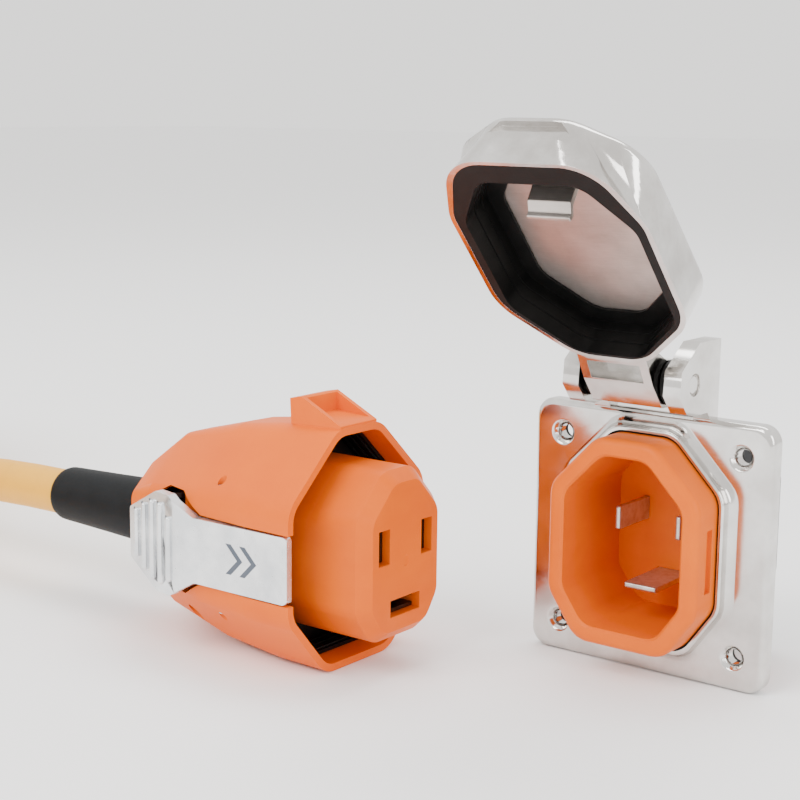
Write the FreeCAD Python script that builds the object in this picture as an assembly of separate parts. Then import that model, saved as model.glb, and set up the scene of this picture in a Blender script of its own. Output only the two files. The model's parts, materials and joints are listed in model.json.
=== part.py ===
import FreeCAD, Part
import math
import os

# A shore power set in two halves that plug together: an extension cord whose moulded connector carries a
# sprung latch on each side, and the panel inlet that it plugs into, with a hinged steel lid.
# Millimetres, +Z up. The origin is the centre of the inlet plate's mounting face. The inlet faces -Y, the
# connector lies to its left and faces +X, and everything stands on the plane through the plate's lower edge.
# Both halves are drawn in a local frame whose z points out of their mating face, with x across and y up.

V = FreeCAD.Vector

# Mating outline, the eight-sided shape that the shroud, the socket, the shell and the lid all follow
MATE_HALF_W = 27.9
MATE_TOP = 37.3
MATE_BOTTOM = 33.3
MATE_UPPER_CUT = (17.2, 17.8)
MATE_LOWER_CUT = (11.3, 16.1)
MATE_CORNER_R = 9.0

# Inlet plate
PLATE = 88.9
PLATE_T = 6.0
PLATE_CORNER_R = 6.0
PLATE_EDGE_R = 2.0
HOLE_PITCH = 66.7
HOLE_R = 2.6
COUNTERSINK_R = 4.7
COLLAR_H = 4.4
COLLAR_W = 1.5
COLLAR_FOOT = 3.2
COLLAR_ROUND = 0.8
FOOT_STEP = 0.13
GASKET_T = 1.5
GASKET_INSET = 1.5

# Shroud and blades
SHROUD_OUT = 17.5
SHROUD_WALL = 6.0
SHROUD_ROUND = 2.6
SHROUD_FLANGE_W = 4.5
SHROUD_FLANGE_T = 4.5
FLANGE_GAP = 0.5
CAVITY_DEPTH = 38.5
CAVITY_CORNER_R = 7.5
CAVITY_FLOOR_T = 8.0
CAVITY_LEAD_IN = 0.8
SEAL_T = 0.7
CATCH_HALF_H = 10.5
CATCH_DEPTH = 1.6
CATCH_FROM_PLATE = 7.0
CATCH_W = 3.8
BLADE_X = 11.4
BLADE_Y = 6.4
BLADE_H = 8.0
BLADE_T = 2.0
BLADE_LENGTH = 20.25
GROUND_Y = -15.1
GROUND_W = 12.0
GROUND_LENGTH = 24.0
BLADE_ROOT = 10.0
BLADE_CHAMFER = 0.5
TERMINAL_BLOCK_T = 22.0
TERMINAL_BLOCK_IN = 3.0
TERMINAL_BLOCK_R = 4.0
TERMINAL_BLOCK_EDGE = 1.0
TERMINAL_SCREW_R = 3.2
TERMINAL_WELL = 9.0
TERMINAL_HEAD_T = 2.5
TERMINAL_ABOVE_BLADE = 9.5
TERMINAL_BELOW_GROUND = 5.0
SCREW_SLOT_W = 1.0

# Hinge and lid
HINGE_Y = 57.2
HINGE_OUT = 11.0
HINGE_PIN_R = 3.0
LUG_INNER_X = 15.5
LUG_T = 6.0
LUG_TOP = 70.4
HINGE_WEB_T = 3.0
PIN_SINK_DEPTH = 0.9
PIN_SINK_GAP = 0.7
WASHER_R = 7.4
WASHER_GAP = 0.6
KNUCKLE_HALF_W = 12.6
KNUCKLE_WINDOW_HALF_W = 9.5
KNUCKLE_ROUND = 1.4
SPRING_POCKET_R = 5.6
SPRING_POCKET_X = 3.0
SPRING_R = 5.4
LID_OPEN_DEG = 137.7
LID_RIM_GAP = 4.8
LID_DEPTH = 19.0
LID_FALL = 3.0
LID_WALL = 1.6
LID_EDGE_R = 3.0
LID_CORNER_R = 17.0
LID_SIDE = 6.5
LID_HINGE_SIDE = 4.3
LID_CHIN = 10.1
LID_UPPER_CUT = (21.9, 21.6)
LID_LOWER_CUT = (9.1, 23.5)
LID_FACE_IN = 1.6
LID_FACE_OUT = 4.3
LID_FACE_UPPER_CUT = (18.5, 18.6)
LID_FACE_LOWER_CUT = (20.9, 12.8)
SCOOP_DEPTH = 1.5
SCOOP_HALF_W = 16.0
SCOOP_TOP_HALF_W = 10.5
LID_PLATE_T = 0.8
LID_PLATE_LAP = 0.5
HOOK_HALF_W = 7.5
HOOK_REACH = 12.0
HOOK_T = 1.4

# Connector
SOCKET_WALL_GAP = 0.6
SOCKET_BEVEL = 4.2
SOCKET_CORNER_R = 8.0
SOCKET_FACE_CORNER_R = 6.5
SOCKET_BACK = 50.0
SOCKET_FLANGE = (46.5, 52.0)
SLOT_ROOM = 1.9
EJECTOR_MARK_R = 1.8
EJECTOR_MARK_DEPTH = 0.3
CONTACT_LEAF_T = 1.5
CONTACT_FRONT = 3.0
CONTACT_MOUTH = 34.0
CONTACT_GRIP = 0.2
CARRIER = (52.4, 62.0)
CARRIER_TO_CENTRE = 0.62
CARRIER_WELL = 5.0
CARRIER_SCREW_R = 2.9
SHELL_WALL = 2.6
SHELL_GAP = 3.3
LATCH_ROOM = 5.7
SHELL_UPPER_CUT = (25.1, 23.2)
SHELL_LOWER_CUT = (18.8, 21.7)
SHELL_CORNER_R = 11.0
RIM_BACK = 20.0
SHELL_END = 113.0
LATCH_T = 3.2
LATCH_HALF_H = 11.3
LATCH_PAD_HALF_H = 17.6
LATCH_PIVOT_BACK = 56.0
LATCH_PIN_R = 1.5
PIVOT_POST_R = 3.4
LATCH_PROUD = 0.3
LATCH_CLEAR = 0.6
LATCH_BOSS_R = 3.6
LATCH_ROUND = 1.6
LATCH_CREST = 1.6
LATCH_TAIL_FALL = 4.6
LATCH_CREST_BACK = 70.0
LATCH_TAIL_BACK = 97.5
LATCH_PIN_OVER = 11.0
RIB_FIRST_BACK = 72.5
RIB_PITCH = 5.0
RIB_R = 1.15
RIB_RISE = 0.35
RIB_SPANS = ((-12.5, 10.5), (-14.5, 14.5), (-14.0, 14.5), (-11.5, 12.5), (-8.0, 9.5))
GROOVE_W = 1.3
GROOVE_DEPTH = 0.8
SPRING_ROOM = 5.0
LATCH_SPRING_H = 4.4
LATCH_SPRING_R = 2.4
LATCH_SPRING_BORE_R = 1.7
SHELL_POST_R = 3.6
SHELL_POST_X = 19.0
SHELL_POST_BACK = 78.0
SHELL_SCREW_R = 1.25
SHELL_SCREW_HEAD_R = 2.6
SHELL_SCREW_SEAT = 14.0
SHELL_SCREW_REACH = 12.0
CATCH_BUMP_HALF_W = 9.6
CATCH_BUMP_H = 8.8
CATCH_BUMP_LENGTH = 22.0
CATCH_BUMP_WALL = 1.8

# Seal liner and cable clamp
LINER_GAP = 0.3
LINER_T = 1.2
LINER_RIBS = (30.5, 34.0, 37.5)
LINER_SLEEVE = (29.0, 41.0)
LINER_BASE = (40.2, 46.4)
CLAMP = (98.0, 87.0)
CLAMP_HALF_W = 15.0
CLAMP_HALF_H = 12.0
CLAMP_SCREW_X = 12.2
CLAMP_SPLIT = 0.3
CLAMP_SCREW_R = 1.15
CLAMP_SCREW_HEAD_R = 2.3
WIRE_R = 1.9

# Cord, its coil and its plug
CORD_R = 8.75
CORD_CUT_END = 84.0
TAIL_DROP = 2.5
RELIEF_END = 166.0
RELIEF_R = 12.3
RELIEF_TIP_R = 10.4
RELIEF_TIP_ROUND = 1.1
RELIEF_TIP_LENGTH = 2.5
RELIEF_COLLAR = 1.6
RELIEF_COLLAR_T = 4.5
COIL_R = 94.5
COIL_COLUMNS = 3
COIL_ROWS = 5
TIE_T = 2.0
TIE_HALF_W = 12.5
PLUG_R = 22.0
PLUG_LENGTH = 62.0
PLUG_FACE_T = 4.0
PLUG_HEAD_T = 16.0
PLUG_NECK = 12.0
PLUG_NECK_R = 13.0
PLUG_WAIST = 5.0
PLUG_GROOVES = 10
PLUG_GROOVE_R = 3.0
PLUG_BLADE_R = (10.5, 12.2)
PLUG_BLADE_LENGTH = 24.0
PLUG_BLADE_HALF_DEG = (30, 24, 24)
PLUG_RELIEF_R = 12.6
PLUG_RELIEF_TIP = 1.8

# Fits
SLIP = 0.05
CLEAR = 0.35

# Placement of the two halves
CONNECTOR_FACE_X = -59.3
CONNECTOR_FACE_Y = -60.3

FLOOR_Z = -PLATE / 2
PLATE_FRONT = PLATE_T
SHROUD_RIM = PLATE_FRONT + SHROUD_OUT
CAVITY_FLOOR = SHROUD_RIM - CAVITY_DEPTH
SHROUD_BACK = CAVITY_FLOOR - CAVITY_FLOOR_T
HINGE_Z = PLATE_FRONT + HINGE_OUT
LID_RIM = PLATE_FRONT + LID_RIM_GAP
LID_FACE = LID_RIM + LID_DEPTH
GASKET_START = PLATE_FRONT + COLLAR_H + 0.5
LID_LIP = SHROUD_RIM + 0.35
LID_LIP_T = 0.9
SHELL_HALF_W = MATE_HALF_W + LATCH_ROOM + SHELL_WALL
SHELL_TOP = MATE_TOP + SHELL_GAP + SHELL_WALL
SHELL_BOTTOM = MATE_BOTTOM + SHELL_GAP + SHELL_WALL
CONNECTOR_FACE_Z = FLOOR_Z + SHELL_BOTTOM
SOCKET_GROW = -(SHROUD_WALL + SOCKET_WALL_GAP)

# The shell's run from rim to tail: distance behind the socket's face, scale of the rim's outline, lift
SHELL_STATIONS = (
    (RIM_BACK, 1.0, 0.0),
    (40.0, 0.99, -0.2),
    (65.0, 0.925, -0.6),
    (93.0, 0.765, -0.8),
    (SHELL_END, 0.46, -1.0),
)

COIL_X = -485.0
COIL_Y = -78.1
COIL_HALF_W = COIL_COLUMNS * CORD_R
COIL_H = COIL_ROWS * 2 * CORD_R
COIL_BASE = FLOOR_Z + TIE_T + CLEAR
OUTER_TURN_R = COIL_R + COIL_HALF_W - CORD_R
TURN_Z = COIL_BASE + CORD_R

# Route of the cord from the strain relief to the coil's outer turn, and from there to the plug
CORD_ROUTE = (
    (CONNECTOR_FACE_X - RELIEF_END, CONNECTOR_FACE_Y, CONNECTOR_FACE_Z - TAIL_DROP),
    (-270.0, CONNECTOR_FACE_Y, CONNECTOR_FACE_Z - TAIL_DROP),
    (-325.0, -53.5, -17.5),
    (-371.0, -30.0, -29.5),
    (-411.5, 5.5, TURN_Z),
    (-450.0, 28.5, TURN_Z),
)
PLUG_TIP_X = -270.0
PLUG_Y = -178.0
PLUG_Z = FLOOR_Z + PLUG_R
PLUG_RELIEF_LENGTH = 34.0
TAIL_ROUTE = (
    (COIL_X + 4.0, COIL_Y - OUTER_TURN_R, TURN_Z),
    (-446.0, -188.9, TURN_Z),
    (-404.0, PLUG_Y, PLUG_Z),
    (PLUG_TIP_X - PLUG_LENGTH - PLUG_RELIEF_LENGTH, PLUG_Y, PLUG_Z),
)


# ---------------------------------------------------------------- outlines and basic solids

def octagon(half_w, top, bottom, upper_cut, lower_cut):
    """An eight-sided outline, anticlockwise, with the same cut on its left and right corners."""
    right = [
        V(half_w - lower_cut[0], -bottom, 0),
        V(half_w, lower_cut[1] - bottom, 0),
        V(half_w, top - upper_cut[1], 0),
        V(half_w - upper_cut[0], top, 0),
    ]
    return right + [V(-p.x, p.y, 0) for p in reversed(right)]


def grown(outline, grow):
    """Moves every edge of a convex outline outwards."""
    edges = []
    for start, end in zip(outline, outline[1:] + outline[:1]):
        along = (end - start).normalize()
        edges.append((start + V(along.y, -along.x, 0) * grow, along))
    corners = []
    for (p, d), (q, e) in zip(edges[-1:] + edges[:-1], edges):
        corners.append(p + d * ((q - p).cross(e).z / d.cross(e).z))
    return corners


def square(half):
    return [V(half, -half, 0), V(half, half, 0), V(-half, half, 0), V(-half, -half, 0)]


def mate(grow=0.0):
    return grown(octagon(MATE_HALF_W, MATE_TOP, MATE_BOTTOM, MATE_UPPER_CUT, MATE_LOWER_CUT), grow)


def round_over(outline, corner_r, z, radius):
    """Sections that turn a prism's wall over into its end face at z, as a quarter circle."""
    sections = []
    for degrees in (0, 30, 60, 90):
        turn = math.radians(degrees)
        inset = radius * (1 - math.cos(turn))
        sections.append((grown(outline, -inset), corner_r, z - radius * (1 - math.sin(turn))))
    return sections


def rounded_wire(outline, radius, z=0.0):
    """A closed wire along an outline whose corners are arcs of the radius or what half an edge allows."""
    arcs = []
    for i, corner in enumerate(outline):
        back = outline[i - 1] - corner
        ahead = outline[(i + 1) % len(outline)] - corner
        longest = 0.48 * min(back.Length, ahead.Length)
        back.normalize()
        ahead.normalize()
        half_angle = back.getAngle(ahead) / 2
        reach = min(radius / math.tan(half_angle), longest)
        arc_r = reach * math.tan(half_angle)
        centre = corner + (back + ahead).normalize() * (arc_r / math.sin(half_angle))
        middle = centre + (corner - centre).normalize() * arc_r
        arcs.append((corner + back * reach, middle, corner + ahead * reach))
    lift = V(0, 0, z)
    edges = []
    for (start, middle, end), following in zip(arcs, arcs[1:] + arcs[:1]):
        edges.append(Part.Arc(start + lift, middle + lift, end + lift).toShape())
        edges.append(Part.LineSegment(end + lift, following[0] + lift).toShape())
    return Part.Wire(edges)


def prism(outline, radius, z0, z1):
    return Part.Face(rounded_wire(outline, radius, z0)).extrude(V(0, 0, z1 - z0))


def stack(sections):
    """A solid through (outline, corner radius, z) sections, straight from each to the next."""
    return Part.makeLoft([rounded_wire(*section) for section in sections], True, True)


def box(x0, x1, y0, y1, z0, z1):
    return Part.makeBox(x1 - x0, y1 - y0, z1 - z0, V(x0, y0, z0))


def slot_box(x, y, half_w, half_h, grow, z0, z1):
    """A box about a blade's section, larger all round by grow."""
    return box(x - half_w - grow, x + half_w + grow, y - half_h - grow, y + half_h + grow, z0, z1)


def rod(start, end, radius):
    return Part.makeCylinder(radius, (end - start).Length, start, end - start)


def cone(start, end, r0, r1):
    return Part.makeCone(r0, r1, (end - start).Length, start, end - start)


def union(shapes):
    return shapes[0].multiFuse(shapes[1:])


def plan_extrusion(points, y0, y1):
    """Extrudes an outline of (x, z) points along y."""
    corners = [V(x, y0, z) for x, z in points]
    return Part.Face(Part.makePolygon(corners + corners[:1])).extrude(V(0, y1 - y0, 0))


def side_extrusion(points, x0, x1, radius=0.0):
    """Extrudes an outline of (z, y) points along x, with rounded corners if a radius is given."""
    flat = [V(z, y, 0) for z, y in points]
    wire = rounded_wire(flat, radius) if radius else Part.makePolygon(flat + flat[:1])
    face = Part.Face(wire)
    face.Placement = FreeCAD.Placement(V(x0, 0, 0), FreeCAD.Rotation(V(0, 1, 0), -90))
    return face.extrude(V(x1 - x0, 0, 0))


def mirrored(shape):
    return shape.mirror(V(0, 0, 0), V(1, 0, 0))


# ---------------------------------------------------------------- inlet

def inlet_plate():
    outline = square(PLATE / 2)
    slab = stack([
        (outline, PLATE_CORNER_R, 0),
    ] + round_over(outline, PLATE_CORNER_R, PLATE_T, PLATE_EDGE_R))
    opening = SLIP + SEAL_T
    top = PLATE_T + COLLAR_H
    collar = stack([
        (mate(opening + COLLAR_W + COLLAR_FOOT), MATE_CORNER_R, PLATE_T - 1),
        (mate(opening + COLLAR_W + COLLAR_FOOT), MATE_CORNER_R, PLATE_T),
        (mate(opening + COLLAR_W + 0.5 * COLLAR_FOOT), MATE_CORNER_R, PLATE_T + FOOT_STEP * COLLAR_FOOT),
        (mate(opening + COLLAR_W + FOOT_STEP * COLLAR_FOOT), MATE_CORNER_R, PLATE_T + 0.5 * COLLAR_FOOT),
    ] + round_over(mate(opening + COLLAR_W), MATE_CORNER_R, top, COLLAR_ROUND))
    web_x = LUG_INNER_X + 1
    web = box(-web_x, web_x, PLATE / 2 - 2 * PLATE_EDGE_R, HINGE_Y + HINGE_PIN_R, 0, HINGE_WEB_T)
    lugs = [hinge_lug(), mirrored(hinge_lug()), web]
    plate = union([slab, collar] + lugs).cut(prism(mate(opening), MATE_CORNER_R, -1, top + 1))
    return plate.cut(Part.makeCompound(panel_holes()))


def panel_holes():
    holes = []
    for x in (-HOLE_PITCH / 2, HOLE_PITCH / 2):
        for y in (-HOLE_PITCH / 2, HOLE_PITCH / 2):
            holes.append(rod(V(x, y, -GASKET_T - 1), V(x, y, PLATE_T + 1), HOLE_R))
            depth = COUNTERSINK_R - HOLE_R
            holes.append(cone(V(x, y, PLATE_T - depth), V(x, y, PLATE_T), HOLE_R, COUNTERSINK_R))
    return holes


def hinge_lug():
    """The right-hand ear, a block that stands on the plate's top edge and carries one end of the pin."""
    root = PLATE / 2
    profile = [
        (0.0, root - 3), (0.0, LUG_TOP), (HINGE_Z - 2.5, LUG_TOP), (HINGE_Z + 8.8, HINGE_Y + 5),
        (HINGE_Z + 9.6, HINGE_Y - 3), (HINGE_Z + 4.5, HINGE_Y - 9), (HINGE_Z - 1, HINGE_Y - 10.2),
        (PLATE_T + 1.5, HINGE_Y - 10.2), (PLATE_T - 0.5, root), (PLATE_T - 0.5, root - 3),
    ]
    outer = LUG_INNER_X + LUG_T
    lug = side_extrusion(profile[::-1], LUG_INNER_X, outer)
    axis_in = V(LUG_INNER_X - 1, HINGE_Y, HINGE_Z)
    axis_out = V(outer + 1, HINGE_Y, HINGE_Z)
    lug = lug.cut(rod(axis_in, axis_out, HINGE_PIN_R + SLIP))
    return lug.cut(rod(V(outer - PIN_SINK_DEPTH, HINGE_Y, HINGE_Z), axis_out, HINGE_PIN_R + PIN_SINK_GAP))


def panel_gasket():
    sheet = prism(square(PLATE / 2 - GASKET_INSET), PLATE_CORNER_R - GASKET_INSET, -GASKET_T, 0)
    sheet = sheet.cut(prism(mate(SHROUD_FLANGE_W + FLANGE_GAP), MATE_CORNER_R, -GASKET_T - 1, 1))
    return sheet.cut(Part.makeCompound(panel_holes()))


def inlet_shroud():
    body = stack([
        (mate(), MATE_CORNER_R, SHROUD_BACK),
    ] + round_over(mate(), MATE_CORNER_R, SHROUD_RIM, SHROUD_ROUND))
    flange = prism(mate(SHROUD_FLANGE_W), MATE_CORNER_R, -SHROUD_FLANGE_T, -SLIP)
    lead_in = mate(-SHROUD_WALL + CAVITY_LEAD_IN)
    cavity = stack([
        (mate(-SHROUD_WALL), CAVITY_CORNER_R, CAVITY_FLOOR),
        (mate(-SHROUD_WALL), CAVITY_CORNER_R, SHROUD_RIM - CAVITY_LEAD_IN),
        (lead_in, CAVITY_CORNER_R, SHROUD_RIM),
        (lead_in, CAVITY_CORNER_R, SHROUD_RIM + 1),
    ])
    catch_z = PLATE_FRONT + CATCH_FROM_PLATE
    catch_x = MATE_HALF_W - CATCH_DEPTH
    catch = box(catch_x, MATE_HALF_W + 1, -CATCH_HALF_H, CATCH_HALF_H, catch_z, catch_z + CATCH_W)
    shroud = union([body, flange]).cut(Part.makeCompound([cavity, catch, mirrored(catch)]))
    return shroud.cut(Part.makeCompound([blade(name, SLIP) for name in ("line", "neutral", "ground")]))


def shroud_seal():
    ring = prism(mate(SLIP + SEAL_T - 0.02), MATE_CORNER_R, 0, PLATE_T + COLLAR_H - 0.6)
    return ring.cut(prism(mate(SLIP), MATE_CORNER_R, -1, PLATE_T + COLLAR_H))


def blade(name, extra=0.0):
    """A flat blade from the terminal block to its tip, grown by extra where a slot is cut for it."""
    back = SHROUD_BACK - BLADE_ROOT
    if name == "ground":
        half_w, half_h, x, y, length = GROUND_W / 2, BLADE_T / 2, 0.0, GROUND_Y, GROUND_LENGTH
    else:
        half_w, half_h, y, length = BLADE_T / 2, BLADE_H / 2, BLADE_Y, BLADE_LENGTH
        x = BLADE_X if name == "neutral" else -BLADE_X
    tip = CAVITY_FLOOR + length
    bar = slot_box(x, y, half_w, half_h, extra, back - extra, tip)
    if extra:
        return bar
    edges = [e for e in bar.Edges if all(abs(v.Z - tip) < 1e-6 for v in e.Vertexes)]
    return bar.makeChamfer(BLADE_CHAMFER, edges)


def terminal_screw_places():
    above = BLADE_Y + TERMINAL_ABOVE_BLADE
    return [(-BLADE_X, above), (BLADE_X, above), (0.0, GROUND_Y - TERMINAL_BELOW_GROUND)]


def terminal_block():
    back = SHROUD_BACK - TERMINAL_BLOCK_T
    block = stack([
        (mate(-TERMINAL_BLOCK_IN - TERMINAL_BLOCK_EDGE), TERMINAL_BLOCK_R, back),
        (mate(-TERMINAL_BLOCK_IN), TERMINAL_BLOCK_R, back + TERMINAL_BLOCK_EDGE),
        (mate(-TERMINAL_BLOCK_IN), TERMINAL_BLOCK_R, SHROUD_BACK - SLIP),
    ])
    cuts = [blade(name, SLIP) for name in ("line", "neutral", "ground")]
    for x, y in terminal_screw_places():
        cuts.append(rod(V(x, y, back - 1), V(x, y, back + TERMINAL_WELL), TERMINAL_SCREW_R + CLEAR))
    return block.cut(Part.makeCompound(cuts))


def terminal_screws():
    back = SHROUD_BACK - TERMINAL_BLOCK_T
    screws = []
    for x, y in terminal_screw_places():
        top = back + TERMINAL_WELL - TERMINAL_HEAD_T
        head = rod(V(x, y, top), V(x, y, back + TERMINAL_WELL - SLIP), TERMINAL_SCREW_R)
        screws.append(head.cut(screw_slot(x, y, top, TERMINAL_SCREW_R)))
    return Part.makeCompound(screws)


def screw_slot(x, y, z, screw_r):
    """The driver slot across a screw's head, whose outer face is at z and faces back."""
    half_w = SCREW_SLOT_W / 2
    return box(x - half_w, x + half_w, y - screw_r - 1, y + screw_r + 1, z - 1, z + SCREW_SLOT_W)


def hinge_pin():
    end = LUG_INNER_X + LUG_T - 0.5
    return rod(V(-end, HINGE_Y, HINGE_Z), V(end, HINGE_Y, HINGE_Z), HINGE_PIN_R)


def hinge_washers():
    inner = KNUCKLE_HALF_W + CLEAR
    outer = LUG_INNER_X - CLEAR - WASHER_GAP
    washer = rod(V(inner, HINGE_Y, HINGE_Z), V(outer, HINGE_Y, HINGE_Z), WASHER_R)
    washer = washer.cut(rod(V(0, HINGE_Y, HINGE_Z), V(outer + 1, HINGE_Y, HINGE_Z), HINGE_PIN_R + SLIP))
    return Part.makeCompound([washer, mirrored(washer)])


# ---------------------------------------------------------------- lid, drawn closed over the shroud

def lid_rim_outline():
    top = MATE_TOP + LID_HINGE_SIDE
    return octagon(MATE_HALF_W + LID_SIDE, top, MATE_BOTTOM + LID_CHIN, LID_UPPER_CUT, LID_LOWER_CUT)


def lid_face_outline():
    """The outer face's outline, narrower than the rim's, and drawn out past it at the thumb end."""
    return octagon(
        MATE_HALF_W + LID_SIDE - LID_FACE_IN, MATE_TOP + LID_HINGE_SIDE - LID_FACE_IN / 2,
        MATE_BOTTOM + LID_CHIN + LID_FACE_OUT, LID_FACE_UPPER_CUT, LID_FACE_LOWER_CUT)


def lid_body(inset):
    """The lid's outer shape, or its hollow where an inset is given. Its face slopes down to the thumb end."""
    radius = LID_CORNER_R - inset
    rim = rounded_wire(grown(lid_rim_outline(), -inset), radius, LID_RIM - (1 if inset else 0))
    height = MATE_TOP + LID_HINGE_SIDE + MATE_BOTTOM + LID_CHIN + LID_FACE_OUT
    slope = math.degrees(math.atan(LID_FALL / height))
    wires = [rim]
    for outline, corner_r, z in round_over(lid_face_outline(), radius, LID_FACE - inset, LID_EDGE_R):
        wire = rounded_wire(grown(outline, -inset), corner_r, z)
        wire.rotate(V(0, MATE_TOP + LID_HINGE_SIDE, z), V(1, 0, 0), slope)
        wires.append(wire)
    return Part.makeLoft(wires, True, True)


def thumb_scoop():
    """A hollow in the end wall, under the face's edge, for the thumb that lifts the lid."""
    low, high = LID_FACE - LID_FALL - 8.2, LID_FACE - LID_FALL - 3.2
    wall_low = -(MATE_BOTTOM + LID_CHIN + LID_FACE_OUT * 0.55)
    wall_high = -(MATE_BOTTOM + LID_CHIN + LID_FACE_OUT * 0.86)
    profile = [(low, wall_low - 4), (high, wall_high - 4), (high, wall_high + SCOOP_DEPTH), (low, wall_low)]
    scoop = side_extrusion(profile, -SCOOP_HALF_W, SCOOP_HALF_W)
    corners = [(-SCOOP_HALF_W, low), (SCOOP_HALF_W, low), (SCOOP_TOP_HALF_W, high), (-SCOOP_TOP_HALF_W, high)]
    narrow = plan_extrusion(corners, -60, 0)
    return scoop.common(narrow)


def knuckle():
    """The barrel and the two arms that carry the lid, round the hinge pin."""
    root = MATE_TOP + LID_HINGE_SIDE - LID_WALL - 0.5
    profile = [
        (LID_RIM + 0.4, root), (LID_RIM - 1.9, HINGE_Y - 7.5), (LID_RIM - 2.4, HINGE_Y + 3),
        (HINGE_Z - 4, HINGE_Y + 7.4), (HINGE_Z + 3, HINGE_Y + 7.4), (HINGE_Z + 7.4, HINGE_Y + 3),
        (HINGE_Z + 7.4, HINGE_Y - 2.5), (HINGE_Z + 3, HINGE_Y - 7.2), (LID_RIM + 5.5, root),
    ]
    arm = side_extrusion(profile, -KNUCKLE_HALF_W, KNUCKLE_HALF_W, KNUCKLE_ROUND)
    low = MATE_TOP + LID_HINGE_SIDE + 0.9
    window = box(-KNUCKLE_WINDOW_HALF_W, KNUCKLE_WINDOW_HALF_W, low, HINGE_Y - 8.0, LID_RIM - 5, LID_FACE)
    bore = rod(V(-50, HINGE_Y, HINGE_Z), V(50, HINGE_Y, HINGE_Z), HINGE_PIN_R + SLIP)
    pocket = rod(V(SPRING_POCKET_X, HINGE_Y, HINGE_Z), V(50, HINGE_Y, HINGE_Z), SPRING_POCKET_R)
    return arm, Part.makeCompound([window, bore, pocket])


def lid_shell():
    arm, cuts = knuckle()
    hollow = lid_body(LID_WALL).cut(thumb_pad())
    shell = union([lid_body(0.0), arm])
    return shell.cut(hollow).cut(cuts).cut(thumb_scoop())


def lid_spring():
    start = V(SPRING_POCKET_X + CLEAR, HINGE_Y, HINGE_Z)
    coil = rod(start, V(KNUCKLE_HALF_W - CLEAR, HINGE_Y, HINGE_Z), SPRING_R)
    end = V(KNUCKLE_HALF_W, HINGE_Y, HINGE_Z)
    return coil.cut(rod(V(0, HINGE_Y, HINGE_Z), end, HINGE_PIN_R + PIN_SINK_GAP))


def thumb_pad():
    """The thicker wall behind the thumb scoop."""
    half_w = SCOOP_HALF_W + 2
    inner = -(MATE_BOTTOM + LID_CHIN - LID_WALL - 0.4)
    return box(-half_w, half_w, -60, inner, LID_FACE - LID_FALL - 10.5, LID_FACE + 1)


def lid_gasket():
    """A stepped rubber ring: a thin skirt at the rim, two ledges, and a lip that meets the shroud's rim."""
    body = lid_body(LID_WALL + SLIP).cut(thumb_pad())
    body = body.common(box(-99, 99, -99, 99, GASKET_START, LID_LIP + LID_LIP_T))
    steps = [
        (1.7, LID_RIM + 5.6), (1.3, LID_RIM + 9.6), (1.0, LID_LIP), (-4.6, LID_LIP + 3),
    ]
    for grow, z in steps:
        body = body.cut(prism(mate(grow), MATE_CORNER_R, 0, z))
    return body


def lid_plate():
    back = LID_LIP + LID_LIP_T + SLIP
    return prism(mate(LID_PLATE_LAP), MATE_CORNER_R, back, back + LID_PLATE_T)


def lid_hook():
    """A bent strip on the inner plate that drops over the connector's catch."""
    root = LID_LIP + LID_LIP_T
    tip = root - HOOK_REACH
    low = -(MATE_BOTTOM - SHROUD_WALL - 2.2)
    profile = [
        (root, low - 0.6), (root, low + HOOK_T), (tip + 4.0, low + 2.4 + HOOK_T),
        (tip + 2.2, low + 5.0 + HOOK_T), (tip, low + 5.0 + HOOK_T), (tip, low + 5.0), (tip + 1.6, low + 4.6),
        (tip + 3.4, low + 1.8),
        (root - HOOK_T, low - 0.6),
    ]
    return side_extrusion(profile, -HOOK_HALF_W, HOOK_HALF_W)


# ---------------------------------------------------------------- connector

def shell_section(back, inset):
    """The shell's outline at a distance behind the socket's face, moved in by inset."""
    stations = list(zip(SHELL_STATIONS, SHELL_STATIONS[1:]))
    for (b0, s0, l0), (b1, s1, l1) in stations:
        if back <= b1 or (b1, s1, l1) == SHELL_STATIONS[-1]:
            share = (back - b0) / (b1 - b0)
            break
    scale = s0 + (s1 - s0) * share
    lift = l0 + (l1 - l0) * share
    rim = octagon(SHELL_HALF_W, SHELL_TOP, SHELL_BOTTOM, SHELL_UPPER_CUT, SHELL_LOWER_CUT)
    radius = max(SHELL_CORNER_R * scale - inset, 1.5)
    return grown([V(p.x * scale, p.y * scale + lift, 0) for p in rim], -inset), radius, -back


def shell_run(inset, front, end):
    """A solid inside the shell's outer shape, from front to end behind the socket's face."""
    between = [b for b, _, _ in SHELL_STATIONS if front + 0.5 < b < end - 0.5]
    return stack([shell_section(b, inset) for b in [end] + between[::-1] + [front]])


def latch_outline(extra=0.0):
    """The latch seen from its side as (z, y) points, grown by extra for the gap in the shell."""
    z = [-(RIM_BACK + 1.0), -62.0, -73.0, -81.0, -LATCH_TAIL_BACK]
    outline = [
        (z[0], -LATCH_HALF_H), (z[0], LATCH_HALF_H), (z[1], LATCH_HALF_H), (z[2], LATCH_PAD_HALF_H),
        (z[3], LATCH_PAD_HALF_H), (z[4], 9.0), (z[4], -9.0), (z[3], -LATCH_PAD_HALF_H),
        (z[2], -LATCH_PAD_HALF_H), (z[1], -LATCH_HALF_H),
    ]
    if not extra:
        return outline
    widened = []
    for along, up in outline:
        widened.append((along + math.copysign(extra, along - z[2]), up + math.copysign(extra, up)))
    return widened


def pivot_x():
    return SHELL_HALF_W - 7.6


def latch_pad_x(back):
    """The distance from the middle of the pad's outer face, which falls away from its crest to the tail."""
    share = (back - LATCH_CREST_BACK) / (LATCH_TAIL_BACK - LATCH_CREST_BACK)
    return SHELL_HALF_W + LATCH_PROUD + LATCH_CREST - share * (LATCH_CREST + LATCH_TAIL_FALL)


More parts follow.
